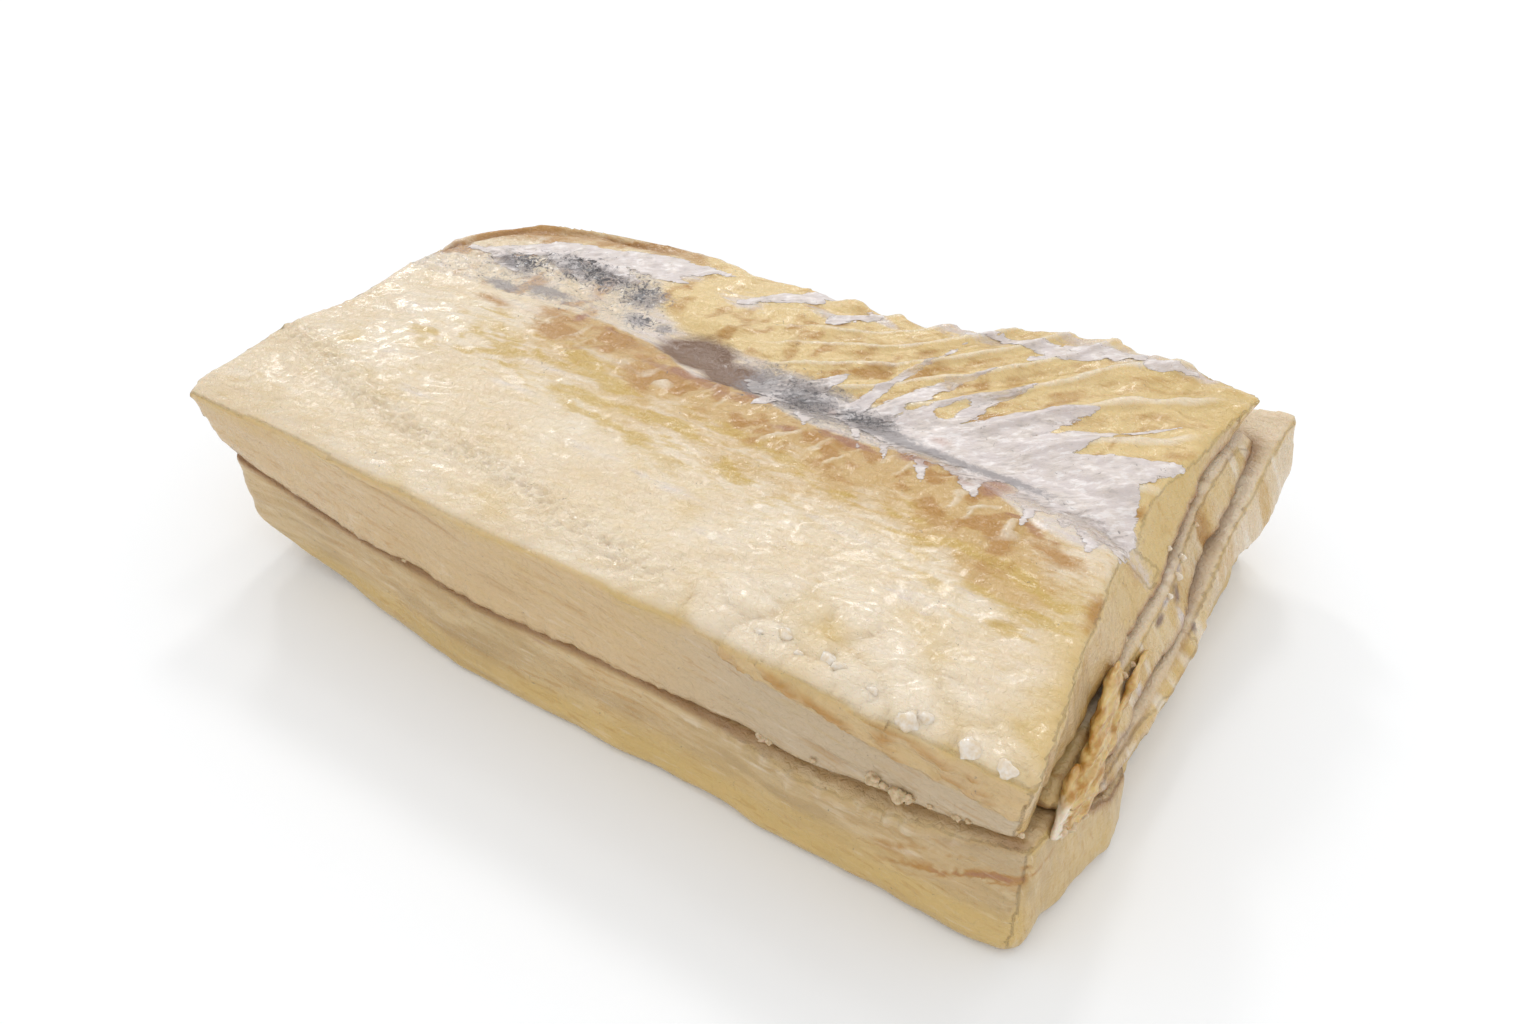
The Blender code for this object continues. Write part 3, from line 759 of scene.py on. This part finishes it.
def carve_flap(body, seed):
    """A folded flap: softly pleated at the cut end, with a yellow rim."""
    x, y, z = body.rest.T
    end = body.faces(0, 1.0)
    cut = np.clip(end + body.faces(1, -1.0) + body.faces(1, 1.0) + body.faces(0, -1.0), 0.0, 1.0)
    upright = np.column_stack([0.0 * x, y + 0.2 * z, z / 6.0])
    pleats = grain(upright, 0.0070, seed, 2)
    body.raise_by(0.0004 * pleats + 0.0006 * grain(body.rest, 0.012, seed + 1, 2))
    gashes = np.clip(grain(upright, 0.0120, seed + 2, 2) * 2.4 - 1.1, 0.0, 1.0)
    body.raise_by(-0.0009 * gashes * end)
    rounding = bump(0.60, 0.30, body.normals[:, 2])
    grey = np.clip(grain(upright, 0.010, seed + 3, 2) * 1.6, 0.0, 1.0)
    loose = 1.0 - ease(-0.060, -0.036, y)
    body.marks = {
        **fibre_marks(body, 0.0, 3.0, 0.0, 0.2),
        "cut": 0.35 * cut,
        "grey": 0.6 * grey * end,
        "tan": np.clip(1.4 * grain(upright, 0.013, seed + 4, 2) + 0.1, 0.0, 0.7) * end,
        "straw": np.clip(0.75 * rounding + 0.7 * loose, 0.0, 1.0),
        "ochre": np.clip(0.6 * gashes * end + 0.5 * loose * (pleats > 0.1), 0.0, 1.0),
        "mauve": 0.8 * end * blot(y, z, MAUVE_ENDS),
        "lilac": 0.8 * end * blot(y, z, LILAC_ENDS),
        # Painted shade where the flap meets its neighbours, and in its gashes.
        "crevice_shade": np.clip(1.2 * body.crevice**1.5 * cut, 0.0, 1.0),
        "hollow_shade": np.clip(0.3 * gashes * end + 0.8 * body.crevice**3, 0.0, 1.0),
        "side": end,
        "ridge": np.clip(grain(upright, 0.0060, seed + 5, 2) * 1.6 - 0.2, 0.0, 0.8) * end,
    }


def edge_heights(body):
    """The height of the slab's lower and upper edge along its front, and which of its points face the front."""
    columns = 96
    x0, x1 = body.x.min(), body.x.max()
    place = np.clip(((body.x - x0) / (x1 - x0) * columns).astype(int), 0, columns - 1)
    outer = np.abs(body.normals[:, 2]) < 0.6
    body.rim = body.faces(1, -1.0, -0.2, 0.3)
    front = outer & (body.normals[:, 1] < -0.5)
    low = np.full(columns, np.inf)
    high = np.full(columns, -np.inf)
    np.minimum.at(low, place[front], body.z[front])
    np.maximum.at(high, place[front], body.z[front])
    low[~np.isfinite(low)] = body.z.min()
    high[~np.isfinite(high)] = body.z.max()
    body.low_edge = low[place]
    body.high_edge = high[place]


def slab_tree(name):
    mesh = frame["nodes"][name].data
    return BVHTree.FromPolygons([v.co for v in mesh.vertices], [p.vertices for p in mesh.polygons])


def crevices(body, neighbours, reach):
    """How close each outward point of the slab is to its neighbours, 1 where they touch."""
    trees = [slab_tree(name) for name in neighbours]
    near = np.zeros(len(body.rest))
    for i in np.flatnonzero(np.abs(body.normals[:, 2]) < 0.97):
        for tree in trees:
            away = tree.find_nearest(Vector(body.rest[i]), reach)[3]
            if away is not None:
                near[i] = max(near[i], 1.0 - away / reach)
    body.crevice = near


# Thin torn sheets --------------------------------------------------------------------------------

# Bands of a sheet: start, end, half width at the start and at the end, in millimetres.
BELLY_BANDS = [
    ((32, 8), (60, 4), 4.0, 7.0),
    ((60, 4), (108, 9), 7.0, 14.0),
    ((96, 8), (126, 36), 13.0, 0.6),
    ((30, 12), (46, 60), 2.4, 0.5),
    ((37, 10), (61, 52), 4.2, 0.6),
    ((48, 8), (75, 50), 7.0, 0.6),
    ((63, 8), (96, 50), 9.5, 0.6),
    ((78, 8), (104, 42), 10.0, 0.8),
    ((104, 42), (121, 53), 0.9, 0.4),
    ((112, 2), (116, -13), 6.0, 0.8),
    ((104, 2), (107, -8), 5.0, 0.6),
    ((118, 4), (124, -9), 6.0, 1.0),
    ((96, 2), (97, -13), 4.0, 0.5),
    ((36, 4), (43, -7), 2.0, 0.4),
    ((48, 0), (52, -8), 2.0, 0.3),
    ((60, -1), (66, -12), 3.0, 0.4),
    ((76, -2), (82, -10), 3.5, 0.5),
]
BELLY_HOLES = [((83, -1), (87, 2), 3.0, 2.0), ((56, 22), (60, 30), 2.0, 0.8), ((100, -7), (103, -4), 2.0, 1.0)]
PATCH_BANDS = [
    ((6, 10), (28, 10), 7.0, 5.0),
    ((2, 6), (-7, 10), 4.0, 0.8),
    ((8, 2), (5, -5), 3.0, 0.6),
    ((20, 2), (24, -6), 4.0, 0.6),
    ((14, 14), (22, 25), 4.0, 0.6),
    ((30, 11), (34, 22), 4.0, 1.6),
]
FAR_BANDS = [
    ((-130, 20), (-106, 37), 2.5, 4.5),
    ((-106, 37), (-62, 50), 5.5, 6.0),
    ((-64, 48), (-43, 55), 6.0, 0.8),
    ((-100, 32), (-84, 26), 5.0, 1.0),
    ((-84, 38), (-68, 34), 5.0, 1.5),
    ((-120, 22), (-108, 18), 4.0, 0.8),
    ((-74, 44), (-50, 41), 5.0, 0.6),
]
BACK_BANDS = [
    ((-30, 43), (-10, 56), 2.0, 4.5),
    ((-12, 58), (-2, 64), 3.5, 0.8),
    ((3, 48), (12, 58), 3.0, 4.0),
    ((44, 66), (76, 73), 2.0, 4.0),
    ((76, 74), (96, 82), 4.5, 2.0),
    ((66, 64), (74, 70), 1.2, 3.0),
    ((100, 80), (114, 83), 3.0, 0.8),
    ((-58, 52), (-40, 55), 2.5, 0.8),
]
THIN_SPOTS = [(112, -2, 14, 7), (92, -2, 14, 5), (60, 0, 20, 5), (40, 8, 10, 6), (20, 6, 12, 8), (10, 14, 10, 8)]
THIN_SPOTS += [(-98, 26, 24, 5), (-72, 32, 14, 5), (-118, 20, 10, 4), (50, 40, 40, 10)]
MEMBRANES = (
    ("belly_membrane", BELLY_BANDS, BELLY_HOLES, ((18, -20), (130, 66))),
    ("pigment_membrane", PATCH_BANDS, [], ((-14, -12), (40, 30))),
    ("far_membrane", FAR_BANDS, [], ((-142, 2), (-36, 62))),
    ("back_membrane", BACK_BANDS, [], ((-64, 36), (120, 90))),
)


def band_depth(places, bands):
    """How far each place lies inside the nearest of the tapered bands."""
    deepest = np.full(len(places), -99.0)
    for start, end, first, last in bands:
        start, run = np.array(start, float), np.subtract(end, start)
        share = np.clip((places - start) @ run / (run @ run), 0.0, 1.0)
        away = np.linalg.norm(places - start - share[:, None] * run, axis=1)
        deepest = np.maximum(deepest, first + (last - first) * share**1.5 - away)
    return deepest


def torn_sheet(name, bands, holes, grid, surface, finish):
    """A thin sheet with a ragged outline, lying on the surface under it."""
    (left, near), (right, far) = grid
    cell = 0.55

    def depth(places):
        flat = np.column_stack([places, np.zeros(len(places))])
        worn = 0.9 * grain(turned(flat, 40.0, 1.6), 5.0, 71, 3) + 1.1 * grain(turned(flat, 35.0, 2.5), 1.5, 72, 2)
        inside = band_depth(places, bands)
        if holes:
            inside = np.minimum(inside, -band_depth(places, holes))
        return inside + worn * np.clip(0.35 + inside * 0.25, 0.35, 1.0)

    columns = np.arange(left, right, cell)
    rows = np.arange(near, far, cell)
    places = np.stack(np.meshgrid(columns, rows), axis=-1).reshape(-1, 2)
    index = np.arange(len(places)).reshape(len(rows), len(columns))
    corners = np.stack([index[:-1, :-1], index[:-1, 1:], index[1:, 1:], index[1:, :-1]], axis=-1).reshape(-1, 4)
    halves = np.concatenate([corners[:, [0, 1, 2]], corners[:, [0, 2, 3]]])
    level = depth(places)
    kept = halves[(level[halves] > 0.0).any(axis=1)]
    used, kept = np.unique(kept, return_inverse=True)
    kept = kept.reshape(-1, 3)
    places, level = places[used], level[used]
    edge = level < 0.0
    for _ in range(4):
        spots = places[edge]
        height = depth(spots)
        slope = np.stack([depth(spots + d) - depth(spots - d) for d in np.eye(2) * 0.1], axis=1) / 0.2
        shift = -height[:, None] * slope / np.maximum((slope**2).sum(axis=1, keepdims=True), 0.3)
        places[edge] += np.clip(shift, -cell, cell)
    level[edge] = 0.0
    flat = np.column_stack([places, np.zeros(len(places))])
    folds = grain(turned(flat, 45.0, 3.5), 3.2, 73, 3)
    lift = 0.06 + 0.24 * ease(0.0, 1.6, level)
    points = []
    for (across, along), fold, rise in zip(places * MM, folds, lift * MM, strict=True):
        hit = surface.ray_cast(Vector((across, along, 0.2)), Vector((0.0, 0.0, -1.0)))[0]
        height = hit.z if hit else 0.05
        points.append((across, along, height + rise * (1.0 + 0.5 * fold)))
    mesh = bpy.data.meshes.new(name)
    mesh.from_pydata(points, [], kept.tolist())
    link(name, mesh, finish)
    mark(mesh, "inside", level * MM)
    mark(mesh, "fibre", turned(np.array(points), 38.0, 2.6))
    x, y = places.T * MM
    for key, values in membrane_marks(x, y).items():
        mark(mesh, key, values)


def membrane_marks(x, y):
    """Pigment of the membrane, which the flesh under it shares."""
    line = bump(0.0, 0.0028, y - course(x, STRIP_MIDDLE) + 0.0055) * ease(0.030, 0.045, x)
    line *= 1.0 - 0.75 * ease(0.085, 0.112, x)
    return {
        "slate": np.clip(0.85 * blot(x, y, SLATE_SPOTS) + 0.85 * line, 0.0, 0.9),
        "soot": 0.50 * blot(x, y, SOOT_SPOTS),
        "blood": 0.7 * blot(x, y, BLOOD_SPOTS),
        "thin": np.clip(blot(x, y, THIN_SPOTS), 0.0, 1.0),
    }


def membrane_finish():
    """Thin whitish belly membrane, see-through at its torn rim, with grey pigment."""
    finish = Finish(
        "belly_membrane_moist",
        Subsurface_Weight=0.15,
        Subsurface_Radius=(1.0, 0.8, 0.7),
        Subsurface_Scale=0.002,
        Coat_Roughness=0.2,
        Coat_Weight=0.2,
    )
    clouds = finish.noise(0.006, 4.0, 0.6)
    veins = finish.noise(0.0016, 3.0, 0.6, "fibre")
    tears = finish.noise(0.0030, 4.0, 0.65, "fibre", 0.6)
    skin = finish.blend(tone("lilac"), tone("ivory"), step(clouds, 0.54, 0.30) * 0.35)
    skin = finish.blend(skin, tone("slate"), step(veins + clouds * 0.5, 0.90, 0.20) * 0.40)
    skin = finish.blend(skin, (0.86, 0.81, 0.79), (1.0 - step(veins, 0.42, 0.10)) * 0.7)
    for key, over, strength, size, ragged, soft in (
        ("blood", "blood", 0.55, 0.0020, 0.90, 0.60),
        ("slate", "slate", 0.80, 0.0024, 1.50, 0.45),
        ("soot", "soot", 0.90, 0.0020, 2.40, 0.20),
    ):
        edge = (finish.noise(size, 4.0, 0.7, warp=1.2) - 0.5) * ragged
        skin = finish.blend(skin, tone(over), step(finish.mark(key) + edge, 0.5, soft) * strength)
    dots = step(finish.noise(0.0018, 2.0, 0.6, warp=1.5), 0.69, 0.05) * step(clouds, 0.50, 0.10)
    skin = finish.blend(skin, tone("soot"), dots * 0.55)
    finish.feed("Base Color", skin)
    finish.feed("Roughness", veins * 0.25 + 0.24)
    whole = step(finish.mark("inside") * 260.0 + tears * 1.5, 0.86, 0.10)
    worn = step(finish.mark("thin") * 0.45 + tears, 0.82, 0.22) * 0.70
    finish.feed("Alpha", whole * (1.0 - worn))
    finish.bumped((veins, 0.0003), (tears, 0.0004))
    return finish.material


# Small loose things --------------------------------------------------------------------------------

# Places in millimetres: along, across, up, then size. Each is moved on to the surface it faces.
CRYSTALS = [(65, -82, 62, 4.6), (78, -83, 62, 6.4), (82, -84, 62, 4.2), (103, -89, 61, 6.8), (106, -87, 61, 4.4)]
CRYSTALS += [(119, -89, 61, 6.4), (128, -90, 60, 5.0), (71, -85, 62, 3.0), (92, -86, 61, 3.2), (59, -84, 62, 2.6)]
FRONT_CRUMBS = [(97, -99, 37.0, 3.8), (99.5, -99, 36.0, 2.4), (104, -99, 35.8, 4.2), (106.5, -99, 36.2, 3.0)]
FRONT_CRUMBS += [(119, -99, 37.4, 2.0), (122, -99, 38.4, 1.5), (64, -99, 29.5, 2.8), (66.5, -99, 29.8, 1.8)]
FRONT_CRUMBS += [(80, -99, 32.0, 1.6), (-62, -99, 29.0, 1.5), (112, -99, 36.4, 1.4), (134, -99, 39.5, 1.8)]
END_JELLY = [(150, 23, 44, 3.4), (150, 20, 41, 2.8), (150, 14, 39, 3.0), (150, 17, 45, 2.0), (150, 6, 38, 2.2)]
END_CRUMBS = [(150, -18, 39, 4.2), (150, -28, 37, 2.4), (150, -22, 36, 2.0), (150, 31, 45, 2.0)]
END_CRUMBS += [(150, -78, 31, 4.0), (150, -74, 29, 3.2), (150, -80, 33, 3.0), (150, -68, 28, 2.4)]


def pebbles(name, places, towards, surfaces, finish, squareness, sunk, rough=0.22):
    """Small lumps resting on the surfaces, from round to boxy, as one piece."""
    bm = bmesh.new()
    for number, (along, across, up, size) in enumerate(places):
        start = Vector((along, across, up)) * MM - Vector(towards) * 0.02
        hits = [tree.ray_cast(start, Vector(towards))[0] for tree in surfaces]
        hits = [hit for hit in hits if hit is not None]
        spot = min(hits, key=lambda hit: (hit - start).length)
        made = bmesh.ops.create_icosphere(bm, subdivisions=3, radius=1.0)["verts"]
        shape = np.array([v.co for v in made])
        shape /= (np.abs(shape) ** squareness).sum(axis=1, keepdims=True) ** (1.0 / squareness)
        shape *= (1.0 + rough * grain(shape + 5.0 * number, 0.9, 81, 2))[:, None]
        spin = np.random.default_rng(number).normal(size=3)
        turn = Vector(spin).to_track_quat("Z", "Y").to_matrix()
        shape = shape @ np.array(turn) * (1.0, 0.8, 0.9) * size * MM / 2.0
        centre = spot + Vector(towards) * size * MM * sunk
        for vertex, place in zip(made, shape, strict=True):
            vertex.co = Vector(place) + centre
    mesh = bpy.data.meshes.new(name)
    bm.to_mesh(mesh)
    bm.free()
    link(name, mesh, finish)


def salt_finish():
    """Clear wet salt, whiter inside."""
    finish = Finish(
        "salt_crystal",
        Subsurface_Weight=0.3,
        Subsurface_Radius=(1.0, 0.92, 0.85),
        Subsurface_Scale=0.001,
        Coat_Weight=0.8,
        Coat_Roughness=0.05,
        Roughness=0.12,
        IOR=1.54,
    )
    cloudy = step(finish.noise(0.0018, 3.0, 0.6), 0.5, 0.3)
    finish.feed("Base Color", finish.blend(tone("cream"), (0.80, 0.73, 0.64), cloudy))
    finish.bumped((finish.noise(0.0012, 2.0), 0.0002))
    return finish.material


def crumb_finish():
    """Torn bits of flesh."""
    finish = Finish("flesh_crumb", Subsurface_Weight=0.2, Subsurface_Scale=0.001, Roughness=0.35)
    worn = step(finish.noise(0.0018, 3.0, 0.6), 0.5, 0.3)
    finish.feed("Base Color", finish.blend(tone("cream"), tone("olive"), worn * 0.8))
    finish.bumped((finish.noise(0.0010, 3.0, 0.6), 0.0004))
    return finish.material


# The loose skin at the near corner of the cut end: each fold's places and its thickness, in millimetres.
LOOSE_FOLDS = (
    ([(134.0, -30, 43.0), (136.5, -46, 42.0), (139.0, -60, 39.0), (140.0, -71, 36.0)], 2.3),
    ([(135.5, -38, 40.0), (138.5, -54, 38.0), (140.5, -67, 34.5), (141.0, -77, 31.5)], 2.9),
    ([(136.5, -36, 36.5), (139.5, -50, 34.5), (141.5, -62, 31.5), (142.0, -72, 29.0)], 2.5),
    ([(137.5, -64, 39.0), (138.5, -73, 37.0), (139.5, -79, 34.5), (140.0, -81, 31.5)], 2.8),
    ([(134.6, -30, 41.0), (137.0, -42, 39.5), (139.0, -54, 37.0), (140.0, -62, 35.0)], 2.8),
    ([(137.5, -14, 35.0), (138.0, -26, 34.5), (139.0, -38, 33.5), (140.5, -50, 31.5)], 1.8),
)


LOOSE_CELL = 0.0005


def loose_skin():
    """Wrinkled folds of yellow skin, squeezed out at the near corner of the cut end."""
    around, steps = 20, 64
    points = []
    faces = []
    for number, (stops, thick) in enumerate(LOOSE_FOLDS):
        at = np.linspace(0.0, len(stops) - 1.0, steps)
        line = np.column_stack([np.interp(at, range(len(stops)), np.array(stops)[:, k]) for k in range(3)])
        for _ in range(40):
            line[1:-1] = (line[:-2] + line[2:]) / 2.0
        run = np.gradient(line, axis=0)
        run /= np.linalg.norm(run, axis=1, keepdims=True)
        side = np.cross(run, (1.0, 0.0, 0.0))
        side /= np.linalg.norm(side, axis=1, keepdims=True)
        out = np.cross(side, run)
        share = np.linspace(0.0, 1.0, steps)
        swell = np.sqrt(np.clip(1.0 - (2.0 * share - 1.0) ** 6, 0.0, 1.0)) * thick + 0.02
        angle = np.linspace(0.0, 2.0 * np.pi, around, endpoint=False)
        ring = side[:, None] * np.cos(angle)[None, :, None] * 1.3 + out[:, None] * np.sin(angle)[None, :, None] * 0.6
        skin = (line[:, None] + ring * swell[:, None, None]).reshape(-1, 3)
        rough = 0.35 * grain(skin + 9.0 * number, 9.0, 91, 2)
        skin += ring.reshape(-1, 3) * (rough * np.repeat(swell, around))[:, None]
        base = sum(len(p) for p in points)
        points.append(skin)
        for row in range(steps - 1):
            for k in range(around):
                low, high = base + row * around, base + (row + 1) * around
                faces.append((low + k, low + (k + 1) % around, high + (k + 1) % around, high + k))
        faces.append(tuple(base + k for k in range(around))[::-1])
        faces.append(tuple(base + (steps - 1) * around + k for k in range(around)))
    mesh = bpy.data.meshes.new("loose_skin")
    mesh.from_pydata((np.concatenate(points) * MM).tolist(), [], faces)
    finish = Finish("loose_skin_moist", Subsurface_Weight=0.3, Subsurface_Scale=0.001, Roughness=0.22)
    creased = finish.noise(0.0020, 3.0, 0.6, "fibre")
    patchy = finish.noise(0.0050, 2.0)
    skin = finish.blend(tone("straw"), tone("ochre"), (1.0 - step(creased, 0.50, 0.20)) * 0.95)
    skin = finish.blend(skin, tone("amber"), step(patchy, 0.52, 0.20) * 0.6)
    skin = finish.blend(skin, tone("ivory"), step(finish.mark("tip") + (creased - 0.5) * 0.8, 0.62, 0.30) * 0.9)
    finish.feed("Base Color", skin)
    finish.bumped((creased, 0.0004))
    piece = link("loose_skin", mesh, finish.material)
    remesh = {"mode": "VOXEL", "voxel_size": LOOSE_CELL, "adaptivity": 0.0}
    mesh = solidified(piece, ("REMESH", remesh), ("SMOOTH", {"iterations": 3}))
    mesh.shade_smooth()
    places = read(mesh.vertices, "co")
    lengthwise = np.column_stack([places[:, 0], places[:, 1] / 5.0, places[:, 2] + 0.25 * places[:, 1]])
    wrinkle = 0.0010 * grain(lengthwise, 0.0034, 93, 3)
    moved = places + read(mesh.vertex_normals, "vector") * wrinkle[:, None]
    mesh.vertices.foreach_set("co", moved.astype(np.float32).ravel())
    mark(mesh, "fibre", lengthwise)
    mark(mesh, "tip", ease(-0.066, -0.084, places[:, 1]))


# Operators ---------------------------------------------------------------------------------------


def cell_size():
    return sizes().cell * 1.0


class COD_OT_top_loin(bpy.types.Operator):
    """Carve and colour the upper loin with its open face"""

    bl_idname = "salt_cod.top_loin"
    bl_label = "Upper loin"

    def execute(self, context):
        body = Body("top_loin", cell_size())
        edge_heights(body)
        crevices(body, ("bottom_loin", "upper_flap", "lower_flap"), 0.0050)
        carve_top_loin(body)
        body.finished(flesh("cream_flesh_wet", "ivory", "cream", "amber", 0.85))
        return {"FINISHED"}


class COD_OT_membranes(bpy.types.Operator):
    """Drape the torn belly membrane over the open face"""

    bl_idname = "salt_cod.membranes"
    bl_label = "Belly membrane"

    def execute(self, context):
        finish = membrane_finish()
        surface = BVHTree.FromObject(bpy.data.objects["top_loin_flesh"], context.evaluated_depsgraph_get())
        for name, bands, holes, grid in MEMBRANES:
            torn_sheet(name, bands, holes, grid, surface, finish)
        return {"FINISHED"}


class COD_OT_loose_bits(bpy.types.Operator):
    """Scatter the salt crystals, crumbs and the loose skin"""

    bl_idname = "salt_cod.loose_bits"
    bl_label = "Salt and crumbs"

    def execute(self, context):
        graph = context.evaluated_depsgraph_get()
        names = ("top_loin_flesh", "upper_flap_flesh", "lower_flap_flesh", "bottom_loin_flesh")
        surfaces = [BVHTree.FromObject(bpy.data.objects[name], graph) for name in names]
        salt = salt_finish()
        crumb = crumb_finish()
        down, back, inward = (0.0, 0.0, -1.0), (0.0, 1.0, 0.0), (-1.0, 0.0, 0.0)
        pebbles("salt_crystals", CRYSTALS, down, surfaces[:1], salt, 2.8, 0.28, 0.28)
        pebbles("front_crumbs", FRONT_CRUMBS, back, surfaces, crumb, 2.5, -0.1, 0.55)
        pebbles("end_jelly", END_JELLY, inward, surfaces, salt, 2.0, 0.0)
        pebbles("end_crumbs", END_CRUMBS, inward, surfaces, crumb, 2.2, 0.0, 0.45)
        loose_skin()
        return {"FINISHED"}


class COD_OT_bottom_loin(bpy.types.Operator):
    """Carve and colour the lower loin"""

    bl_idname = "salt_cod.bottom_loin"
    bl_label = "Lower loin"

    def execute(self, context):
        body = Body("bottom_loin", cell_size() * 1.05)
        edge_heights(body)
        crevices(body, ("top_loin", "upper_flap", "lower_flap"), 0.0050)
        carve_bottom_loin(body)
        body.finished(flesh("olive_flesh_moist", "beige", "olive", "straw", 0.35))
        return {"FINISHED"}


class COD_OT_flaps(bpy.types.Operator):
    """Carve and colour the two folded flaps at the wide end"""

    bl_idname = "salt_cod.flaps"
    bl_label = "Folded flaps"

    def execute(self, context):
        for node, slot, seed in (("upper_flap", "amber_flap_flesh", 51), ("lower_flap", "pale_flap_flesh", 61)):
            body = Body(node, cell_size() * 1.1)
            edge_heights(body)
            others = {"top_loin", "bottom_loin", "upper_flap", "lower_flap"} - {node}
            crevices(body, sorted(others), 0.0060)
            carve_flap(body, seed)
            body.finished(flesh(node + "_moist", "ivory", "cream", "beige", 0.45))
        return {"FINISHED"}


def soft_light(name, azimuth, elevation, spread, strength):
    """Even soft light from one side, with its direction and its spread in degrees."""
    light = bpy.data.lights.new(name, "SUN")
    light.angle = math.radians(spread)
    light.energy = strength
    lamp = bpy.data.objects.new(name, light)
    lamp.location = (-0.5, 0.8, 1.2)
    lamp.rotation_euler = (math.radians(90.0 - elevation), 0.0, math.radians(azimuth + 90.0))
    bpy.context.scene.collection.objects.link(lamp)


class COD_OT_stage(bpy.types.Operator):
    """Lay a pale floor under the block, with soft light and a camera"""

    bl_idname = "salt_cod.stage"
    bl_label = "Stage"

    def execute(self, context):
        scene = context.scene
        bpy.ops.mesh.primitive_plane_add(size=8.0, location=(0.0, 0.0, -0.0002))
        floor = context.object
        floor.name = "floor"
        finish = Finish("plain_floor", Roughness=0.9)
        shade = finish.noise(0.4, 2.0) * 0.01
        finish.feed("Base Color", finish.blend(tone("floor"), (0.94, 0.955, 0.970), shade))
        floor.data.materials.append(finish.material)

        scene.world = bpy.data.worlds.new("studio")
        scene.world.use_nodes = True
        background = scene.world.node_tree.nodes["Background"]
        background.inputs["Color"].default_value = (1.0, 1.0, 1.0, 1.0)
        background.inputs["Strength"].default_value = 0.93
        soft_light("key_light", 116.0, 43.0, 8.0, 0.34)
        soft_light("side_light", 142.0, 35.0, 7.0, 0.28)
        soft_light("high_light", 95.0, 60.0, 8.0, 0.10)
        scene.view_settings.view_transform = "Standard"

        camera = bpy.data.cameras.new("camera")
        camera.lens = 30.0
        camera.sensor_width = 36.0
        camera.clip_start = 0.01
        viewer = bpy.data.objects.new("camera", camera)
        viewer.location = (0.1795, -0.2688, 0.2865)
        viewer.rotation_euler = (math.radians(49.51), 0.0, math.radians(32.58))
        scene.collection.objects.link(viewer)
        scene.camera = viewer
        return {"FINISHED"}


OPERATORS = (COD_OT_stage, COD_OT_bottom_loin, COD_OT_flaps, COD_OT_top_loin, COD_OT_membranes, COD_OT_loose_bits)


class COD_PT_panel(bpy.types.Panel):
    """The block's pieces, sizes and colours"""

    bl_idname = "COD_PT_panel"
    bl_label = "Salted dried cod"
    bl_space_type = "VIEW_3D"
    bl_region_type = "UI"
    bl_category = "Salt cod"

    def draw(self, context):
        for operator in OPERATORS:
            self.layout.operator(operator.bl_idname)
        for settings in (context.scene.cod_sizes, context.scene.cod_colours):
            for key in settings.__annotations__:
                self.layout.prop(settings, key)


CLASSES = (CodColours, CodSizes, *OPERATORS, COD_PT_panel)


def register():
    for kind in CLASSES:
        bpy.utils.register_class(kind)
    bpy.types.Scene.cod_colours = bpy.props.PointerProperty(type=CodColours)
    bpy.types.Scene.cod_sizes = bpy.props.PointerProperty(type=CodSizes)


def unregister():
    del bpy.types.Scene.cod_sizes
    del bpy.types.Scene.cod_colours
    for kind in reversed(CLASSES):
        bpy.utils.unregister_class(kind)


def main():
    register()
    for operator in OPERATORS:
        family, name = operator.bl_idname.split(".")
        getattr(getattr(bpy.ops, family), name)()


if __name__ == "__main__":
    main()
